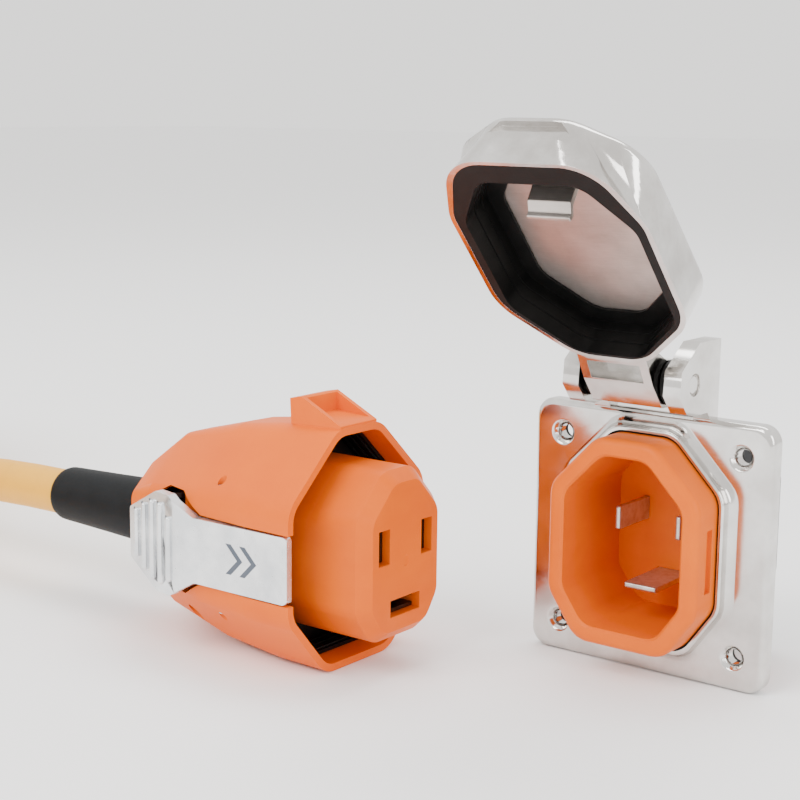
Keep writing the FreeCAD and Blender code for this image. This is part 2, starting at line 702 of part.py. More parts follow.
def latch():
    """The right-hand latch: a strap with a hook in front of its pivot and a ribbed pad behind it."""
    out = SHELL_HALF_W + LATCH_PROUD
    front = -(RIM_BACK + 1.0)
    crest = -LATCH_CREST_BACK
    tail = out - LATCH_TAIL_FALL
    plan = [
        (out - 0.8, front), (out, front - 1.2), (out, -61.0), (out + LATCH_CREST, crest),
        (tail, -LATCH_TAIL_BACK), (tail - LATCH_T, -96.0), (out - 2.0, crest), (out - LATCH_T, -61.0),
        (out - LATCH_T, front),
    ]
    strap = plan_extrusion(plan, -30, 30)
    strap = strap.common(side_extrusion(latch_outline(), 0, 60, LATCH_ROUND))
    hook_front = RIM_BACK + 1.0 + CATCH_FROM_PLATE
    hook_in = MATE_HALF_W - CATCH_DEPTH + 0.3
    hook = [
        (out - LATCH_T + 0.5, -hook_front + 1.5), (hook_in + 1.2, -hook_front - 0.6),
        (hook_in, -hook_front - 1.2), (hook_in, -hook_front - CATCH_W + 0.5),
        (out - LATCH_T + 0.5, -hook_front - CATCH_W - 0.6),
    ]
    tooth = plan_extrusion(hook, -CATCH_HALF_H + 0.8, CATCH_HALF_H - 0.8)
    axis = -LATCH_PIVOT_BACK
    boss = rod(V(pivot_x(), -LATCH_HALF_H, axis), V(pivot_x(), LATCH_HALF_H, axis), LATCH_BOSS_R)
    web = box(pivot_x(), out - 1, -LATCH_HALF_H, LATCH_HALF_H, axis - 3, axis + 3)
    body = union([strap, tooth, boss, web])
    ribs = []
    grooves = []
    for i, (low, high) in enumerate(RIB_SPANS):
        back = RIB_FIRST_BACK + RIB_PITCH * i
        ribs.append(pad_bar(back, RIB_RISE, RIB_R, low, high))
        beside = back + RIB_R + GROOVE_W / 2
        grooves.append(pad_bar(beside, GROOVE_W / 2 - GROOVE_DEPTH, GROOVE_W / 2, low, high))
    body = union([body.cut(Part.makeCompound(grooves))] + ribs)
    return body.cut(rod(V(pivot_x(), -40, axis), V(pivot_x(), 40, axis), LATCH_PIN_R + SLIP))


def pad_bar(back, rise, radius, low, high):
    """An upright bar with round ends, whose axis stands off the latch pad's outer face by rise."""
    x = latch_pad_x(back) + rise
    start = V(x, low + radius, -back)
    end = V(x, high - radius, -back)
    balls = [Part.makeSphere(radius, start), Part.makeSphere(radius, end)]
    return union([rod(start, end, radius)] + balls)


def latch_pin():
    reach = LATCH_HALF_H + LATCH_PIN_OVER
    return rod(V(pivot_x(), -reach, -LATCH_PIVOT_BACK), V(pivot_x(), reach, -LATCH_PIVOT_BACK), LATCH_PIN_R)


def latch_spring():
    """A torsion spring on the pivot pin, between the latch and the upper half of the shell."""
    low = LATCH_HALF_H + CLEAR
    start = V(pivot_x(), low, -LATCH_PIVOT_BACK)
    end = V(pivot_x(), low + LATCH_SPRING_H, -LATCH_PIVOT_BACK)
    return rod(start, end, LATCH_SPRING_R).cut(rod(start - V(0, 1, 0), end + V(0, 1, 0), LATCH_SPRING_BORE_R))


def screw_post_places():
    return [(-SHELL_POST_X, -SHELL_POST_BACK), (SHELL_POST_X, -SHELL_POST_BACK)]


def shell_half(sign):
    """One half of the shell, upper for sign 1 and lower for sign -1."""
    hollow = shell_run(SHELL_WALL, RIM_BACK - 2, SHELL_END - SHELL_WALL)
    skin = shell_run(0.0, RIM_BACK, SHELL_END).cut(hollow)
    inside = shell_run(1.0, RIM_BACK, SHELL_END - 1)
    posts = []
    drills = []
    y0 = LATCH_HALF_H + 1.2
    for side in (-1, 1):
        x = side * pivot_x()
        low = sign * (y0 + SPRING_ROOM if sign > 0 else y0)
        posts.append(rod(V(x, low, -LATCH_PIVOT_BACK), V(x, sign * 60, -LATCH_PIVOT_BACK), PIVOT_POST_R))
        start = V(x, sign * y0, -LATCH_PIVOT_BACK)
        drills.append(rod(start, V(x, sign * 60, -LATCH_PIVOT_BACK), LATCH_PIN_R + SLIP))
    for x, z in screw_post_places():
        posts.append(rod(V(x, sign * SLIP, z), V(x, sign * 60, z), SHELL_POST_R))
        if sign > 0:
            drills.append(rod(V(x, 0, z), V(x, SHELL_SCREW_REACH, z), SHELL_SCREW_R + SLIP))
        else:
            drills.append(rod(V(x, 0, z), V(x, -60, z), SHELL_SCREW_R + CLEAR))
            drills.append(rod(V(x, -SHELL_SCREW_SEAT, z), V(x, -60, z), SHELL_SCREW_HEAD_R + CLEAR))
    body = union([skin] + [post.common(inside) for post in posts])
    if sign > 0:
        body = union([body, catch_bump()])
    window = side_extrusion(latch_outline(LATCH_CLEAR), pivot_x() - 4.4, 60)
    open_front = box(SHELL_HALF_W - 7, 60, -LATCH_HALF_H - LATCH_CLEAR, LATCH_HALF_H + LATCH_CLEAR, -30, 0)
    tail = rod(V(0, -TAIL_DROP, -SHELL_END - 5), V(0, -TAIL_DROP, -SHELL_END + 8), RELIEF_R + 2 * SLIP)
    cuts = drills + [window, mirrored(window), open_front, mirrored(open_front), tail]
    half = box(-90, 90, 0.03 if sign > 0 else -90, 90 if sign > 0 else -0.03, -150, 10)
    return body.cut(Part.makeCompound(cuts)).common(half)


def catch_bump():
    """The scooped catch on top of the shell that the lid's hook drops over."""
    top = SHELL_TOP + CATCH_BUMP_H
    front = -RIM_BACK
    rear = front - CATCH_BUMP_LENGTH
    inner = SHELL_TOP - 1.0
    wedge = [
        (rear, inner), (rear - 0.5, top - 1), (rear + 4.5, top), (front - 0.4, SHELL_TOP + 0.6),
        (front - 0.4, inner),
    ]
    scoop = [
        (rear + 5.5, SHELL_TOP + 2.2), (rear + 5.5, top + 5), (front + 5, top + 5),
        (front + 5, SHELL_TOP + 1.0),
    ]
    scoop_half_w = CATCH_BUMP_HALF_W - CATCH_BUMP_WALL
    block = side_extrusion(wedge[::-1], -CATCH_BUMP_HALF_W, CATCH_BUMP_HALF_W)
    return block.cut(side_extrusion(scoop[::-1], -scoop_half_w, scoop_half_w))


def slot_places():
    """Each contact's name, centre and half sizes of the blade that it takes."""
    return (
        ("line", BLADE_X, BLADE_Y, BLADE_T / 2, BLADE_H / 2),
        ("neutral", -BLADE_X, BLADE_Y, BLADE_T / 2, BLADE_H / 2),
        ("ground", 0.0, GROUND_Y, GROUND_W / 2, BLADE_T / 2),
    )


def socket_block():
    front = stack([
        (mate(SOCKET_GROW), SOCKET_CORNER_R, -SOCKET_BACK),
        (mate(SOCKET_GROW), SOCKET_CORNER_R, -SOCKET_BEVEL),
        (mate(SOCKET_GROW - 0.9 * SOCKET_BEVEL), SOCKET_FACE_CORNER_R, 0.0),
    ])
    half_w = pivot_x() - 2.6
    flange = shell_run(SHELL_WALL + CLEAR, *SOCKET_FLANGE).common(box(-half_w, half_w, -60, 60, -60, 0))
    cuts = [rod(V(0, 0, -EJECTOR_MARK_DEPTH), V(0, 0, 1), EJECTOR_MARK_R)]
    for _, x, y, half_w, half_h in slot_places():
        cuts.append(slot_box(x, y, half_w, half_h, SLOT_ROOM, -SOCKET_FLANGE[1] - 1, 1))
    return union([front, flange]).cut(Part.makeCompound(cuts))


def contact(x, y, half_w, half_h):
    """A bronze receptacle: two spring leaves either side of the blade, on a solid foot."""
    body = slot_box(x, y, half_w, half_h, CONTACT_LEAF_T, -SOCKET_FLANGE[1] + 0.5, -CONTACT_FRONT)
    across_w = half_w + (CONTACT_GRIP if half_w < half_h else CONTACT_LEAF_T + 1)
    across_h = half_h + (CONTACT_LEAF_T + 1 if half_w < half_h else CONTACT_GRIP)
    return body.cut(slot_box(x, y, across_w, across_h, 0.0, -CONTACT_MOUTH, 0))


def carrier_screw_places():
    return [(x * CARRIER_TO_CENTRE, y * CARRIER_TO_CENTRE) for _, x, y, _, _ in slot_places()]


def contact_carrier():
    half_w = pivot_x() - PIVOT_POST_R - 1.2
    plate = shell_run(SHELL_WALL + 1.0, *CARRIER).common(box(-half_w, half_w, -25, 28, -80, 0))
    well = CARRIER[1] - CARRIER_WELL
    holes = []
    for x, y in carrier_screw_places():
        holes.append(rod(V(x, y, -CARRIER[1] - 1), V(x, y, -well), CARRIER_SCREW_R + 0.2))
    return plate.cut(Part.makeCompound(holes))


def carrier_screws():
    screws = []
    head = CARRIER[1] - 1
    seat = CARRIER[1] - CARRIER_WELL + 2 * SLIP
    for x, y in carrier_screw_places():
        screw = rod(V(x, y, -head), V(x, y, -seat), CARRIER_SCREW_R)
        screws.append(screw.cut(screw_slot(x, y, -head, CARRIER_SCREW_R)))
    return Part.makeCompound(screws)


def seal_liner():
    """The ribbed rubber lining between the shell and the socket, with a base that the shroud's rim meets."""
    outer = SHELL_WALL + LINER_GAP
    start, end = LINER_SLEEVE
    opening = prism(mate(SOCKET_GROW + 2 * SLIP), SOCKET_CORNER_R, -60, 0)
    half_w = SHELL_HALF_W + LATCH_PROUD - LATCH_T - 1.8
    base = shell_run(outer, *LINER_BASE).cut(opening).common(box(-half_w, half_w, -60, 60, -60, 0))
    sleeve = shell_run(outer, start, end).cut(shell_run(outer + LINER_T, start - 1, end + 2))
    ribs = []
    for back in LINER_RIBS:
        rib = shell_run(outer + LINER_T / 2, back, back + LINER_T)
        ribs.append(rib.cut(shell_run(outer + 1.5 * LINER_T, back - 1, back + 2)))
    latch_gap = LATCH_HALF_H + 3
    sleeve = union([sleeve] + ribs).cut(box(-60, 60, -latch_gap, latch_gap, -end - 0.5, 0))
    return union([base, sleeve])


def shell_screws():
    screws = []
    seat = -SHELL_SCREW_SEAT - SLIP
    head_end = seat - 3.15
    for x, z in screw_post_places():
        shank = rod(V(x, seat - 0.5, z), V(x, SHELL_SCREW_REACH - 2, z), SHELL_SCREW_R)
        head = rod(V(x, head_end, z), V(x, seat, z), SHELL_SCREW_HEAD_R)
        half_w = SCREW_SLOT_W / 2
        slot = box(x - 3, x + 3, head_end - 1, head_end + SCREW_SLOT_W, z - half_w, z + half_w)
        screws.append(union([shank, head]).cut(slot))
    return Part.makeCompound(screws)


def tail_axis(back):
    return V(0, -TAIL_DROP, -back)


def cable_clamp():
    back, front = CLAMP
    middle = -(back + front) / 2
    low = -TAIL_DROP - CLAMP_HALF_H
    high = -TAIL_DROP + CLAMP_HALF_H
    saddle = box(-CLAMP_HALF_W, CLAMP_HALF_W, low, high, -back, -front)
    saddle = saddle.cut(rod(tail_axis(back + 1), tail_axis(front - 1), CORD_R + SLIP))
    split = box(-20, 20, -TAIL_DROP - CLAMP_SPLIT, -TAIL_DROP + CLAMP_SPLIT, -back - 1, -front + 1)
    holes = []
    for x in (-CLAMP_SCREW_X, CLAMP_SCREW_X):
        holes.append(rod(V(x, -30, middle), V(x, 30, middle), CLAMP_SCREW_R + SLIP))
    return saddle.cut(Part.makeCompound(holes + [split]))


def clamp_screws():
    screws = []
    middle = -sum(CLAMP) / 2
    top = -TAIL_DROP + CLAMP_HALF_H
    for x in (-CLAMP_SCREW_X, CLAMP_SCREW_X):
        shank = rod(V(x, -TAIL_DROP - CLAMP_HALF_H + 2, middle), V(x, top + 0.1, middle), CLAMP_SCREW_R)
        head = rod(V(x, top + SLIP, middle), V(x, top + 2, middle), CLAMP_SCREW_HEAD_R)
        screws.append(union([shank, head]))
    return Part.makeCompound(screws)


def cord_end():
    return rod(tail_axis(RELIEF_END), tail_axis(CORD_CUT_END), CORD_R)


def wire(index):
    """One insulated core, from the cord's cut end to the carrier."""
    name, x, y, _, _ = slot_places()[index]
    start = V(x * 0.42, y * 0.42 - TAIL_DROP, -CORD_CUT_END + 0.7)
    end = V(x * CARRIER_TO_CENTRE, y * CARRIER_TO_CENTRE, -CARRIER[1] - 0.3)
    return rod(start, end, WIRE_R)


def strain_relief():
    inner_end = SHELL_END - SHELL_WALL
    collar_end = inner_end - RELIEF_COLLAR_T
    tip_start = RELIEF_END - RELIEF_TIP_LENGTH
    collar = rod(tail_axis(inner_end - SLIP), tail_axis(collar_end), RELIEF_R + RELIEF_COLLAR)
    collar = collar.common(shell_run(SHELL_WALL + SLIP, SHELL_STATIONS[-2][0], inner_end))
    taper = cone(tail_axis(tip_start), tail_axis(collar_end), RELIEF_TIP_R, RELIEF_R)
    tip = cone(tail_axis(RELIEF_END), tail_axis(tip_start), RELIEF_TIP_R - RELIEF_TIP_ROUND, RELIEF_TIP_R)
    bore = rod(tail_axis(RELIEF_END + 1), tail_axis(CORD_CUT_END), CORD_R + SLIP)
    return union([taper, tip, collar]).cut(bore)


# ---------------------------------------------------------------- cord, coil and plug

def tube_along(route, radius):
    """A round tube of straight runs joined by tangent arcs, each as large as its two runs allow."""
    points = [V(*p) for p in route]
    start = points[0]
    edges = []
    length = 0.0
    radii = []
    for before, corner, after in zip(points, points[1:], points[2:]):
        back = before - corner
        ahead = after - corner
        shorter = min(back.Length, ahead.Length)
        back.normalize()
        ahead.normalize()
        half_turn = (math.pi - back.getAngle(ahead)) / 2
        reach = 0.45 * shorter
        arc_r = reach / math.tan(half_turn)
        entry = corner + back * reach
        leave = corner + ahead * reach
        centre = corner + (back + ahead).normalize() * (arc_r / math.cos(half_turn))
        middle = centre + (corner - centre).normalize() * arc_r
        edges.append(Part.LineSegment(start, entry).toShape())
        edges.append(Part.Arc(entry, middle, leave).toShape())
        length += (entry - start).Length + arc_r * 2 * half_turn
        radii.append(round(arc_r / radius / 2, 1))
        start = leave
    edges.append(Part.LineSegment(start, points[-1]).toShape())
    length += (points[-1] - start).Length
    spine = Part.Wire(edges)
    direction = points[1] - points[0]
    section = Part.Wire(Part.makeCircle(radius, points[0], direction))
    tube = spine.makePipeShell([section], True, False)
    print(f"  run {length:.1f} mm, bends {radii} diameters, volume over section x length "
          f"{tube.Volume / (math.pi * radius ** 2 * length):.4f}")
    return tube


def cord_coil():
    """The put-away turns as one ring with the turns' outer shape."""
    r0, r1 = COIL_R - COIL_HALF_W, COIL_R + COIL_HALF_W
    z0, z1 = COIL_BASE, COIL_BASE + COIL_H
    outline = [V(r0, z0, 0), V(r1, z0, 0), V(r1, z1, 0), V(r0, z1, 0)]
    wire = rounded_wire(outline, CORD_R)
    wire.rotate(V(0, 0, 0), V(1, 0, 0), 90)
    ring = Part.Face(wire).revolve(V(0, 0, 0), V(0, 0, 1), 360)
    ring.translate(V(COIL_X, COIL_Y, 0))
    return ring


def coil_tie(angle):
    """A hook-and-loop strap round the coil's section."""
    inner_r0, inner_r1 = COIL_R - COIL_HALF_W - CLEAR, COIL_R + COIL_HALF_W + CLEAR
    low, high = COIL_BASE - CLEAR, COIL_BASE + COIL_H + CLEAR
    outer = [V(inner_r0 - TIE_T, low - TIE_T, 0), V(inner_r1 + TIE_T, low - TIE_T, 0),
             V(inner_r1 + TIE_T, high + TIE_T, 0), V(inner_r0 - TIE_T, high + TIE_T, 0)]
    inner = grown(outer, -TIE_T)
    band = prism(outer, CORD_R, -TIE_HALF_W, TIE_HALF_W)
    band = band.cut(prism(inner, CORD_R - TIE_T, -TIE_HALF_W - 1, TIE_HALF_W + 1))
    band.rotate(V(0, 0, 0), V(1, 0, 0), 90)
    band.rotate(V(0, 0, 0), V(0, 0, 1), angle)
    ring = cord_coil()
    ring.translate(V(-COIL_X, -COIL_Y, 0))
    band = band.cut(ring)
    band.translate(V(COIL_X, COIL_Y, 0))
    return band


def plug_point(along, y=0.0, z=0.0):
    """A point on the plug, measured back from its face."""
    return V(PLUG_TIP_X - along, PLUG_Y + y, PLUG_Z + z)


def plug_body():
    waist_r = PLUG_R - PLUG_WAIST
    grip = cone(plug_point(PLUG_LENGTH - PLUG_NECK), plug_point(PLUG_HEAD_T), waist_r, PLUG_R)
    head = rod(plug_point(PLUG_HEAD_T), plug_point(PLUG_FACE_T), PLUG_R)
    neck = cone(plug_point(PLUG_LENGTH), plug_point(PLUG_LENGTH - PLUG_NECK), PLUG_NECK_R, waist_r)
    grooves = []
    groove_out = PLUG_R + 0.5
    for i in range(PLUG_GROOVES):
        angle = math.tau * i / PLUG_GROOVES
        start = plug_point(PLUG_LENGTH - 16, groove_out * math.cos(angle), groove_out * math.sin(angle))
        grooves.append(rod(start, start + V(28, 0, 0), PLUG_GROOVE_R))
    return union([grip, head, neck]).cut(Part.makeCompound(grooves))


def plug_face():
    face = rod(plug_point(PLUG_FACE_T - SLIP), plug_point(0), PLUG_R - 1.5)
    return face.cut(Part.makeCompound([plug_blade(i, SLIP) for i in range(3)]))


def plug_blade(index, extra=0.0):
    """A curved locking blade, one of three on a circle."""
    start = plug_point(PLUG_FACE_T - SLIP)
    inner_r = PLUG_BLADE_R[0] - extra
    outer_r = PLUG_BLADE_R[1] + extra
    ring = rod(start, start + V(PLUG_BLADE_LENGTH, 0, 0), outer_r)
    ring = ring.cut(rod(start - V(1, 0, 0), start + V(PLUG_BLADE_LENGTH + 1, 0, 0), inner_r))
    middle = math.radians(90 + 120 * index)
    half = math.radians(PLUG_BLADE_HALF_DEG[index]) + extra / inner_r
    corners = [start - V(1, 0, 0)]
    for angle in (middle - half, middle + half):
        corners.append(start + V(-1, 2 * PLUG_R * math.cos(angle), 2 * PLUG_R * math.sin(angle)))
    wedge = Part.Face(Part.makePolygon(corners + corners[:1])).extrude(V(PLUG_BLADE_LENGTH + 5, 0, 0))
    return ring.common(wedge)


def plug_relief():
    tip = plug_point(PLUG_LENGTH + PLUG_RELIEF_LENGTH)
    return cone(tip, plug_point(PLUG_LENGTH + SLIP), CORD_R + PLUG_RELIEF_TIP, PLUG_RELIEF_R)


# ---------------------------------------------------------------- placing and writing

def on_inlet(shape):
    """From the inlet's local frame to the row's frame."""
    shape = shape.copy()
    upright = FreeCAD.Placement(V(0, 0, 0), FreeCAD.Rotation(V(1, 0, 0), 90))
    shape.Placement = upright.multiply(shape.Placement)
    return shape


def on_lid(shape):
    """From the closed lid's place on the inlet to the open one."""
    shape = on_inlet(shape)
    shape.rotate(V(0, -HINGE_Z, HINGE_Y), V(1, 0, 0), -LID_OPEN_DEG)
    return shape


def on_connector(shape):
    """From the connector's local frame to the row's frame."""
    shape = shape.copy()
    place = FreeCAD.Placement(
        V(CONNECTOR_FACE_X, CONNECTOR_FACE_Y, CONNECTOR_FACE_Z), FreeCAD.Rotation(V(1, 1, 1), 120))
    shape.Placement = place.multiply(shape.Placement)
    return shape


def build():
    nodes = {
        "inlet_plate": on_inlet(inlet_plate()),
        "panel_gasket": on_inlet(panel_gasket()),
        "inlet_shroud": on_inlet(inlet_shroud()),
        "shroud_seal": on_inlet(shroud_seal()),
        "blade_line": on_inlet(blade("line")),
        "blade_neutral": on_inlet(blade("neutral")),
        "blade_ground": on_inlet(blade("ground")),
        "terminal_block": on_inlet(terminal_block()),
        "terminal_screws": on_inlet(terminal_screws()),
        "hinge_pin": on_inlet(hinge_pin()),
        "hinge_washers": on_inlet(hinge_washers()),
        "lid_shell": on_lid(lid_shell()),
        "lid_spring": on_lid(lid_spring()),
        "lid_gasket": on_lid(lid_gasket()),
        "lid_plate": on_lid(lid_plate()),
        "lid_hook": on_lid(lid_hook()),
        "shell_upper": on_connector(shell_half(1)),
        "shell_lower": on_connector(shell_half(-1)),
        "socket_block": on_connector(socket_block()),
        "contact_carrier": on_connector(contact_carrier()),
        "carrier_screws": on_connector(carrier_screws()),
        "seal_liner": on_connector(seal_liner()),
        "shell_screws": on_connector(shell_screws()),
        "latch_right": on_connector(latch()),
        "latch_left": on_connector(mirrored(latch())),
        "latch_pin_right": on_connector(latch_pin()),
        "latch_pin_left": on_connector(mirrored(latch_pin())),
        "latch_spring_right": on_connector(latch_spring()),
        "latch_spring_left": on_connector(mirrored(latch_spring())),
        "cable_clamp": on_connector(cable_clamp()),
        "clamp_screws": on_connector(clamp_screws()),
        "cord_end": on_connector(cord_end()),
        "strain_relief": on_connector(strain_relief()),
        "cord": tube_along(CORD_ROUTE, CORD_R),
        "cord_coil": cord_coil(),
        "cord_tail": tube_along(TAIL_ROUTE, CORD_R),
        "coil_tie_front": coil_tie(330),
        "coil_tie_back": coil_tie(150),
        "plug_body": plug_body(),
        "plug_face": plug_face(),
        "plug_relief": plug_relief(),
    }
    for index, (name, x, y, half_w, half_h) in enumerate(slot_places()):
        nodes[f"contact_{name}"] = on_connector(contact(x, y, half_w, half_h))
        nodes[f"wire_{name}"] = on_connector(wire(index))
        nodes[f"plug_blade_{name}"] = plug_blade(index)
    return nodes


os.makedirs("parts", exist_ok=True)
for node, shape in build().items():
    shape.exportStep(f"parts/{node}.step")
    print(f"{node:22s} {shape.Volume:12.1f} mm3  solids {len(shape.Solids)}  valid {shape.isValid()}")
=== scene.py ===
"""Looks for a shore power set: a corded connector with side latches, and its panel inlet with a hinged steel lid."""

import json
import logging
import math
from dataclasses import dataclass, field
from enum import Enum
from typing import Optional, Union

import bmesh
import bpy
from mathutils import Matrix, Vector

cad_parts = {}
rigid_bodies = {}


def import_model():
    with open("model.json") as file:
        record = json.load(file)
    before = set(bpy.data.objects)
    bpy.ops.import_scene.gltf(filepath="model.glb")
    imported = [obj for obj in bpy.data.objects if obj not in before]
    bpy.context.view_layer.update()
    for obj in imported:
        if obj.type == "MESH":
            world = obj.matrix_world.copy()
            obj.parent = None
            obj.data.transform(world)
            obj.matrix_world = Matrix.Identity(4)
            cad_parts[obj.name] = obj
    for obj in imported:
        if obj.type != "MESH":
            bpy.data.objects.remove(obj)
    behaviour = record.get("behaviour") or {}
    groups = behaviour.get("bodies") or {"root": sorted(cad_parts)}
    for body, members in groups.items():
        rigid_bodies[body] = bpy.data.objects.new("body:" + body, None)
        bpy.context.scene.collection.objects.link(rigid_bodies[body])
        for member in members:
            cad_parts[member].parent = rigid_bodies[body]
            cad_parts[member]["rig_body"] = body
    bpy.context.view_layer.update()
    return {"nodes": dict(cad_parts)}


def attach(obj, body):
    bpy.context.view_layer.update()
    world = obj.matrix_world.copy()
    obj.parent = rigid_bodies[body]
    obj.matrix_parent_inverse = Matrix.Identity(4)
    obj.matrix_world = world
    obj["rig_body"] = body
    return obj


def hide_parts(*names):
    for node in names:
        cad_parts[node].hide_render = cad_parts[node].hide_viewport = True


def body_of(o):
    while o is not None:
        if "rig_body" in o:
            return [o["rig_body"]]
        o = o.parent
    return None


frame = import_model()
LOG = logging.getLogger("shore_power_set")
Colour = tuple[float, float, float, float]


class Body(Enum):
    """The moving bodies of the set."""

    CORD_SET = "cord_set"
    INLET = "inlet"
    LID = "lid"
    LATCH_LEFT = "latch_left"
    LATCH_RIGHT = "latch_right"


# ---------------------------------------------------------------- shader tools


class Signal:
    """One output of a shader node that takes part in ordinary arithmetic."""

    def __init__(self, graph: "Graph", socket: bpy.types.NodeSocket) -> None:
        """Wraps a socket.

        Args:
            graph: The graph that the socket belongs to.
            socket: The output socket.
        """
        self.graph = graph
        self.socket = socket

    def _maths(self, operation: str, *values: "Number", clamp: bool = False) -> "Signal":
        """Adds one Math node.

        Args:
            operation: The node's operation.
            values: Its inputs, in order.
            clamp: Whether the result is held between 0 and 1.

        Returns:
            The node's result.
        """
        return self.graph.node(
            "ShaderNodeMath", {"operation": operation, "use_clamp": clamp}, dict(enumerate(values))
        )

    def __add__(self, other: "Number") -> "Signal":
        """Sum."""
        return self._maths("ADD", self, other)

    def __radd__(self, other: "Number") -> "Signal":
        """Sum with a number on the left."""
        return self._maths("ADD", other, self)

    def __sub__(self, other: "Number") -> "Signal":
        """Difference."""
        return self._maths("SUBTRACT", self, other)

    def __rsub__(self, other: "Number") -> "Signal":
        """Difference with a number on the left."""
        return self._maths("SUBTRACT", other, self)

    def __mul__(self, other: "Number") -> "Signal":
        """Product."""
        return self._maths("MULTIPLY", self, other)

    def __rmul__(self, other: "Number") -> "Signal":
        """Product with a number on the left."""
        return self._maths("MULTIPLY", other, self)

    def __truediv__(self, other: "Number") -> "Signal":
        """Quotient."""
        return self._maths("DIVIDE", self, other)

    def __rtruediv__(self, other: "Number") -> "Signal":
        """Quotient with a number on the left."""
        return self._maths("DIVIDE", other, self)

    def __pow__(self, other: "Number") -> "Signal":
        """Power."""
        return self._maths("POWER", self, other)

    def sine(self) -> "Signal":
        """Sine."""
        return self._maths("SINE", self)

    def held(self) -> "Signal":
        """The value held between 0 and 1."""
        return self._maths("ADD", self, 0.0, clamp=True)

    def above(self, low: float, high: float) -> "Signal":
        """A ramp from 0 at one value to 1 at another.

        Args:
            low: Where the ramp starts.
            high: Where it ends.

        Returns:
            The ramp's value, held between 0 and 1.
        """
        return ((self - low) * (1.0 / (high - low))).held()


Number = Union[Signal, float]


class Graph:
    """A material's node graph, with one method that adds any node."""

    def __init__(self, name: str) -> None:
        """Starts an empty material.

        Args:
            name: The material's name.
        """
        self.material = bpy.data.materials.new(name)
        self.material.use_nodes = True
        self.tree = self.material.node_tree
        self.tree.nodes.clear()
        self.shader = self.tree.nodes.new("ShaderNodeBsdfPrincipled")
        output = self.tree.nodes.new("ShaderNodeOutputMaterial")
        self.tree.links.new(self.shader.outputs[0], output.inputs[0])

    def node(
        self, kind: str, settings: Optional[dict] = None, inputs: Optional[dict] = None, output: int = 0
    ) -> Signal:
        """Adds a node.

        Args:
            kind: The node's type.
            settings: Its properties, set before its sockets. A ramp's stops are under "stops".
            inputs: Values or signals by socket name or number.
            output: The number of the output that is wanted.

        Returns:
            That output.
        """
        made = self.tree.nodes.new(kind)
        for key, value in (settings or {}).items():
            if key == "stops":
                self._set_stops(made.color_ramp, value)
            else:
                setattr(made, key, value)
        for key, value in (inputs or {}).items():
            self._feed(made.inputs[key], value)
        return Signal(self, made.outputs[output])

    @staticmethod
    def _set_stops(ramp: bpy.types.ColorRamp, stops: list[tuple[float, Colour]]) -> None:
        """Writes a colour ramp's stops.

        Args:
            ramp: The ramp.
            stops: Position and colour of each stop, in order.
        """
        while len(ramp.elements) < len(stops):
            ramp.elements.new(0.5)
        for element, (position, colour) in zip(ramp.elements, stops):
            element.position = position
            element.color = colour

    def _feed(self, socket: bpy.types.NodeSocket, value: Union[Number, Colour, Vector]) -> None:
        """Links a signal to a socket, or sets the socket's own value.

        Args:
            socket: The input socket.
            value: A signal or a constant.
        """
        if isinstance(value, Signal):
            self.tree.links.new(value.socket, socket)
        else:
            socket.default_value = value

    def place(self) -> Signal:
        """The Object coordinates, which on every piece are the set's own."""
        return self.node("ShaderNodeTexCoord", output=3)

    def scaled(self, scale: tuple[float, float, float], turn: tuple[float, float, float] = (0, 0, 0)) -> Signal:
        """Object coordinates, scaled and turned.

        Args:
            scale: The scale along each axis.
            turn: The rotation about each axis, in radians.

        Returns:
            The mapped coordinates.
        """
        return self.node("ShaderNodeMapping", inputs={"Vector": self.place(), "Scale": scale, "Rotation": turn})

    def noise(self, size: float, detail: float = 2.0, rough: float = 0.5, where: Optional[Signal] = None) -> Signal:
        """Noise whose blotches are about as wide as a size.

        Args:
            size: The width of a blotch in metres.
            detail: The number of octaves.
            rough: The strength of the finer octaves.
            where: Coordinates, or the Object coordinates if none are given.

        Returns:
            The noise's value, about 0.5 on average.
        """
        return self.node(
            "ShaderNodeTexNoise",
            inputs={
                "Vector": where or self.place(),
                "Scale": 1.0 / size,
                "Detail": detail,
                "Roughness": rough,
            },
        )

    def mix(self, factor: Number, first: Union[Signal, Colour], second: Union[Signal, Colour]) -> Signal:
        """Mixes two colours.

        Args:
            factor: 0 for the first colour, 1 for the second.
            first: The first colour.
            second: The second colour.

        Returns:
            The mixed colour.
        """
        return self.node(
            "ShaderNodeMix", {"data_type": "RGBA"}, {0: factor, 6: first, 7: second}, output=2
        )

    def bump(self, height: Signal, depth: float, strength: float = 1.0) -> Signal:
        """A Bump node.

        Args:
            height: The height, from 0 to 1.
            depth: The height of 1, in metres.
            strength: How much of it shows.

        Returns:
            The bumped normal.
        """
        return self.node(
            "ShaderNodeBump", inputs={"Strength": strength, "Distance": depth, "Height": height}
        )

    def dress(self, **sockets: Union[Number, Colour]) -> bpy.types.Material:
        """Feeds the shader.

        Args:
            sockets: Values by socket name, with _ for a space.

        Returns:
            The finished material.
        """
        for key, value in sockets.items():
            self._feed(self.shader.inputs[key.replace("_", " ")], value)
        return self.material


def tone(red: float, green: float, blue: float) -> Colour:
    """A colour from its 0 to 255 values on a display.

    Args:
        red: Red, 0 to 255.
        green: Green, 0 to 255.
        blue: Blue, 0 to 255.

    Returns:
        The colour in linear values.
    """
    def linear(value: float) -> float:
        """One channel's linear value."""
        share = value / 255
        return share / 12.92 if share <= 0.04045 else ((share + 0.055) / 1.055) ** 2.4

    return (linear(red), linear(green), linear(blue), 1.0)


# ---------------------------------------------------------------- finishes


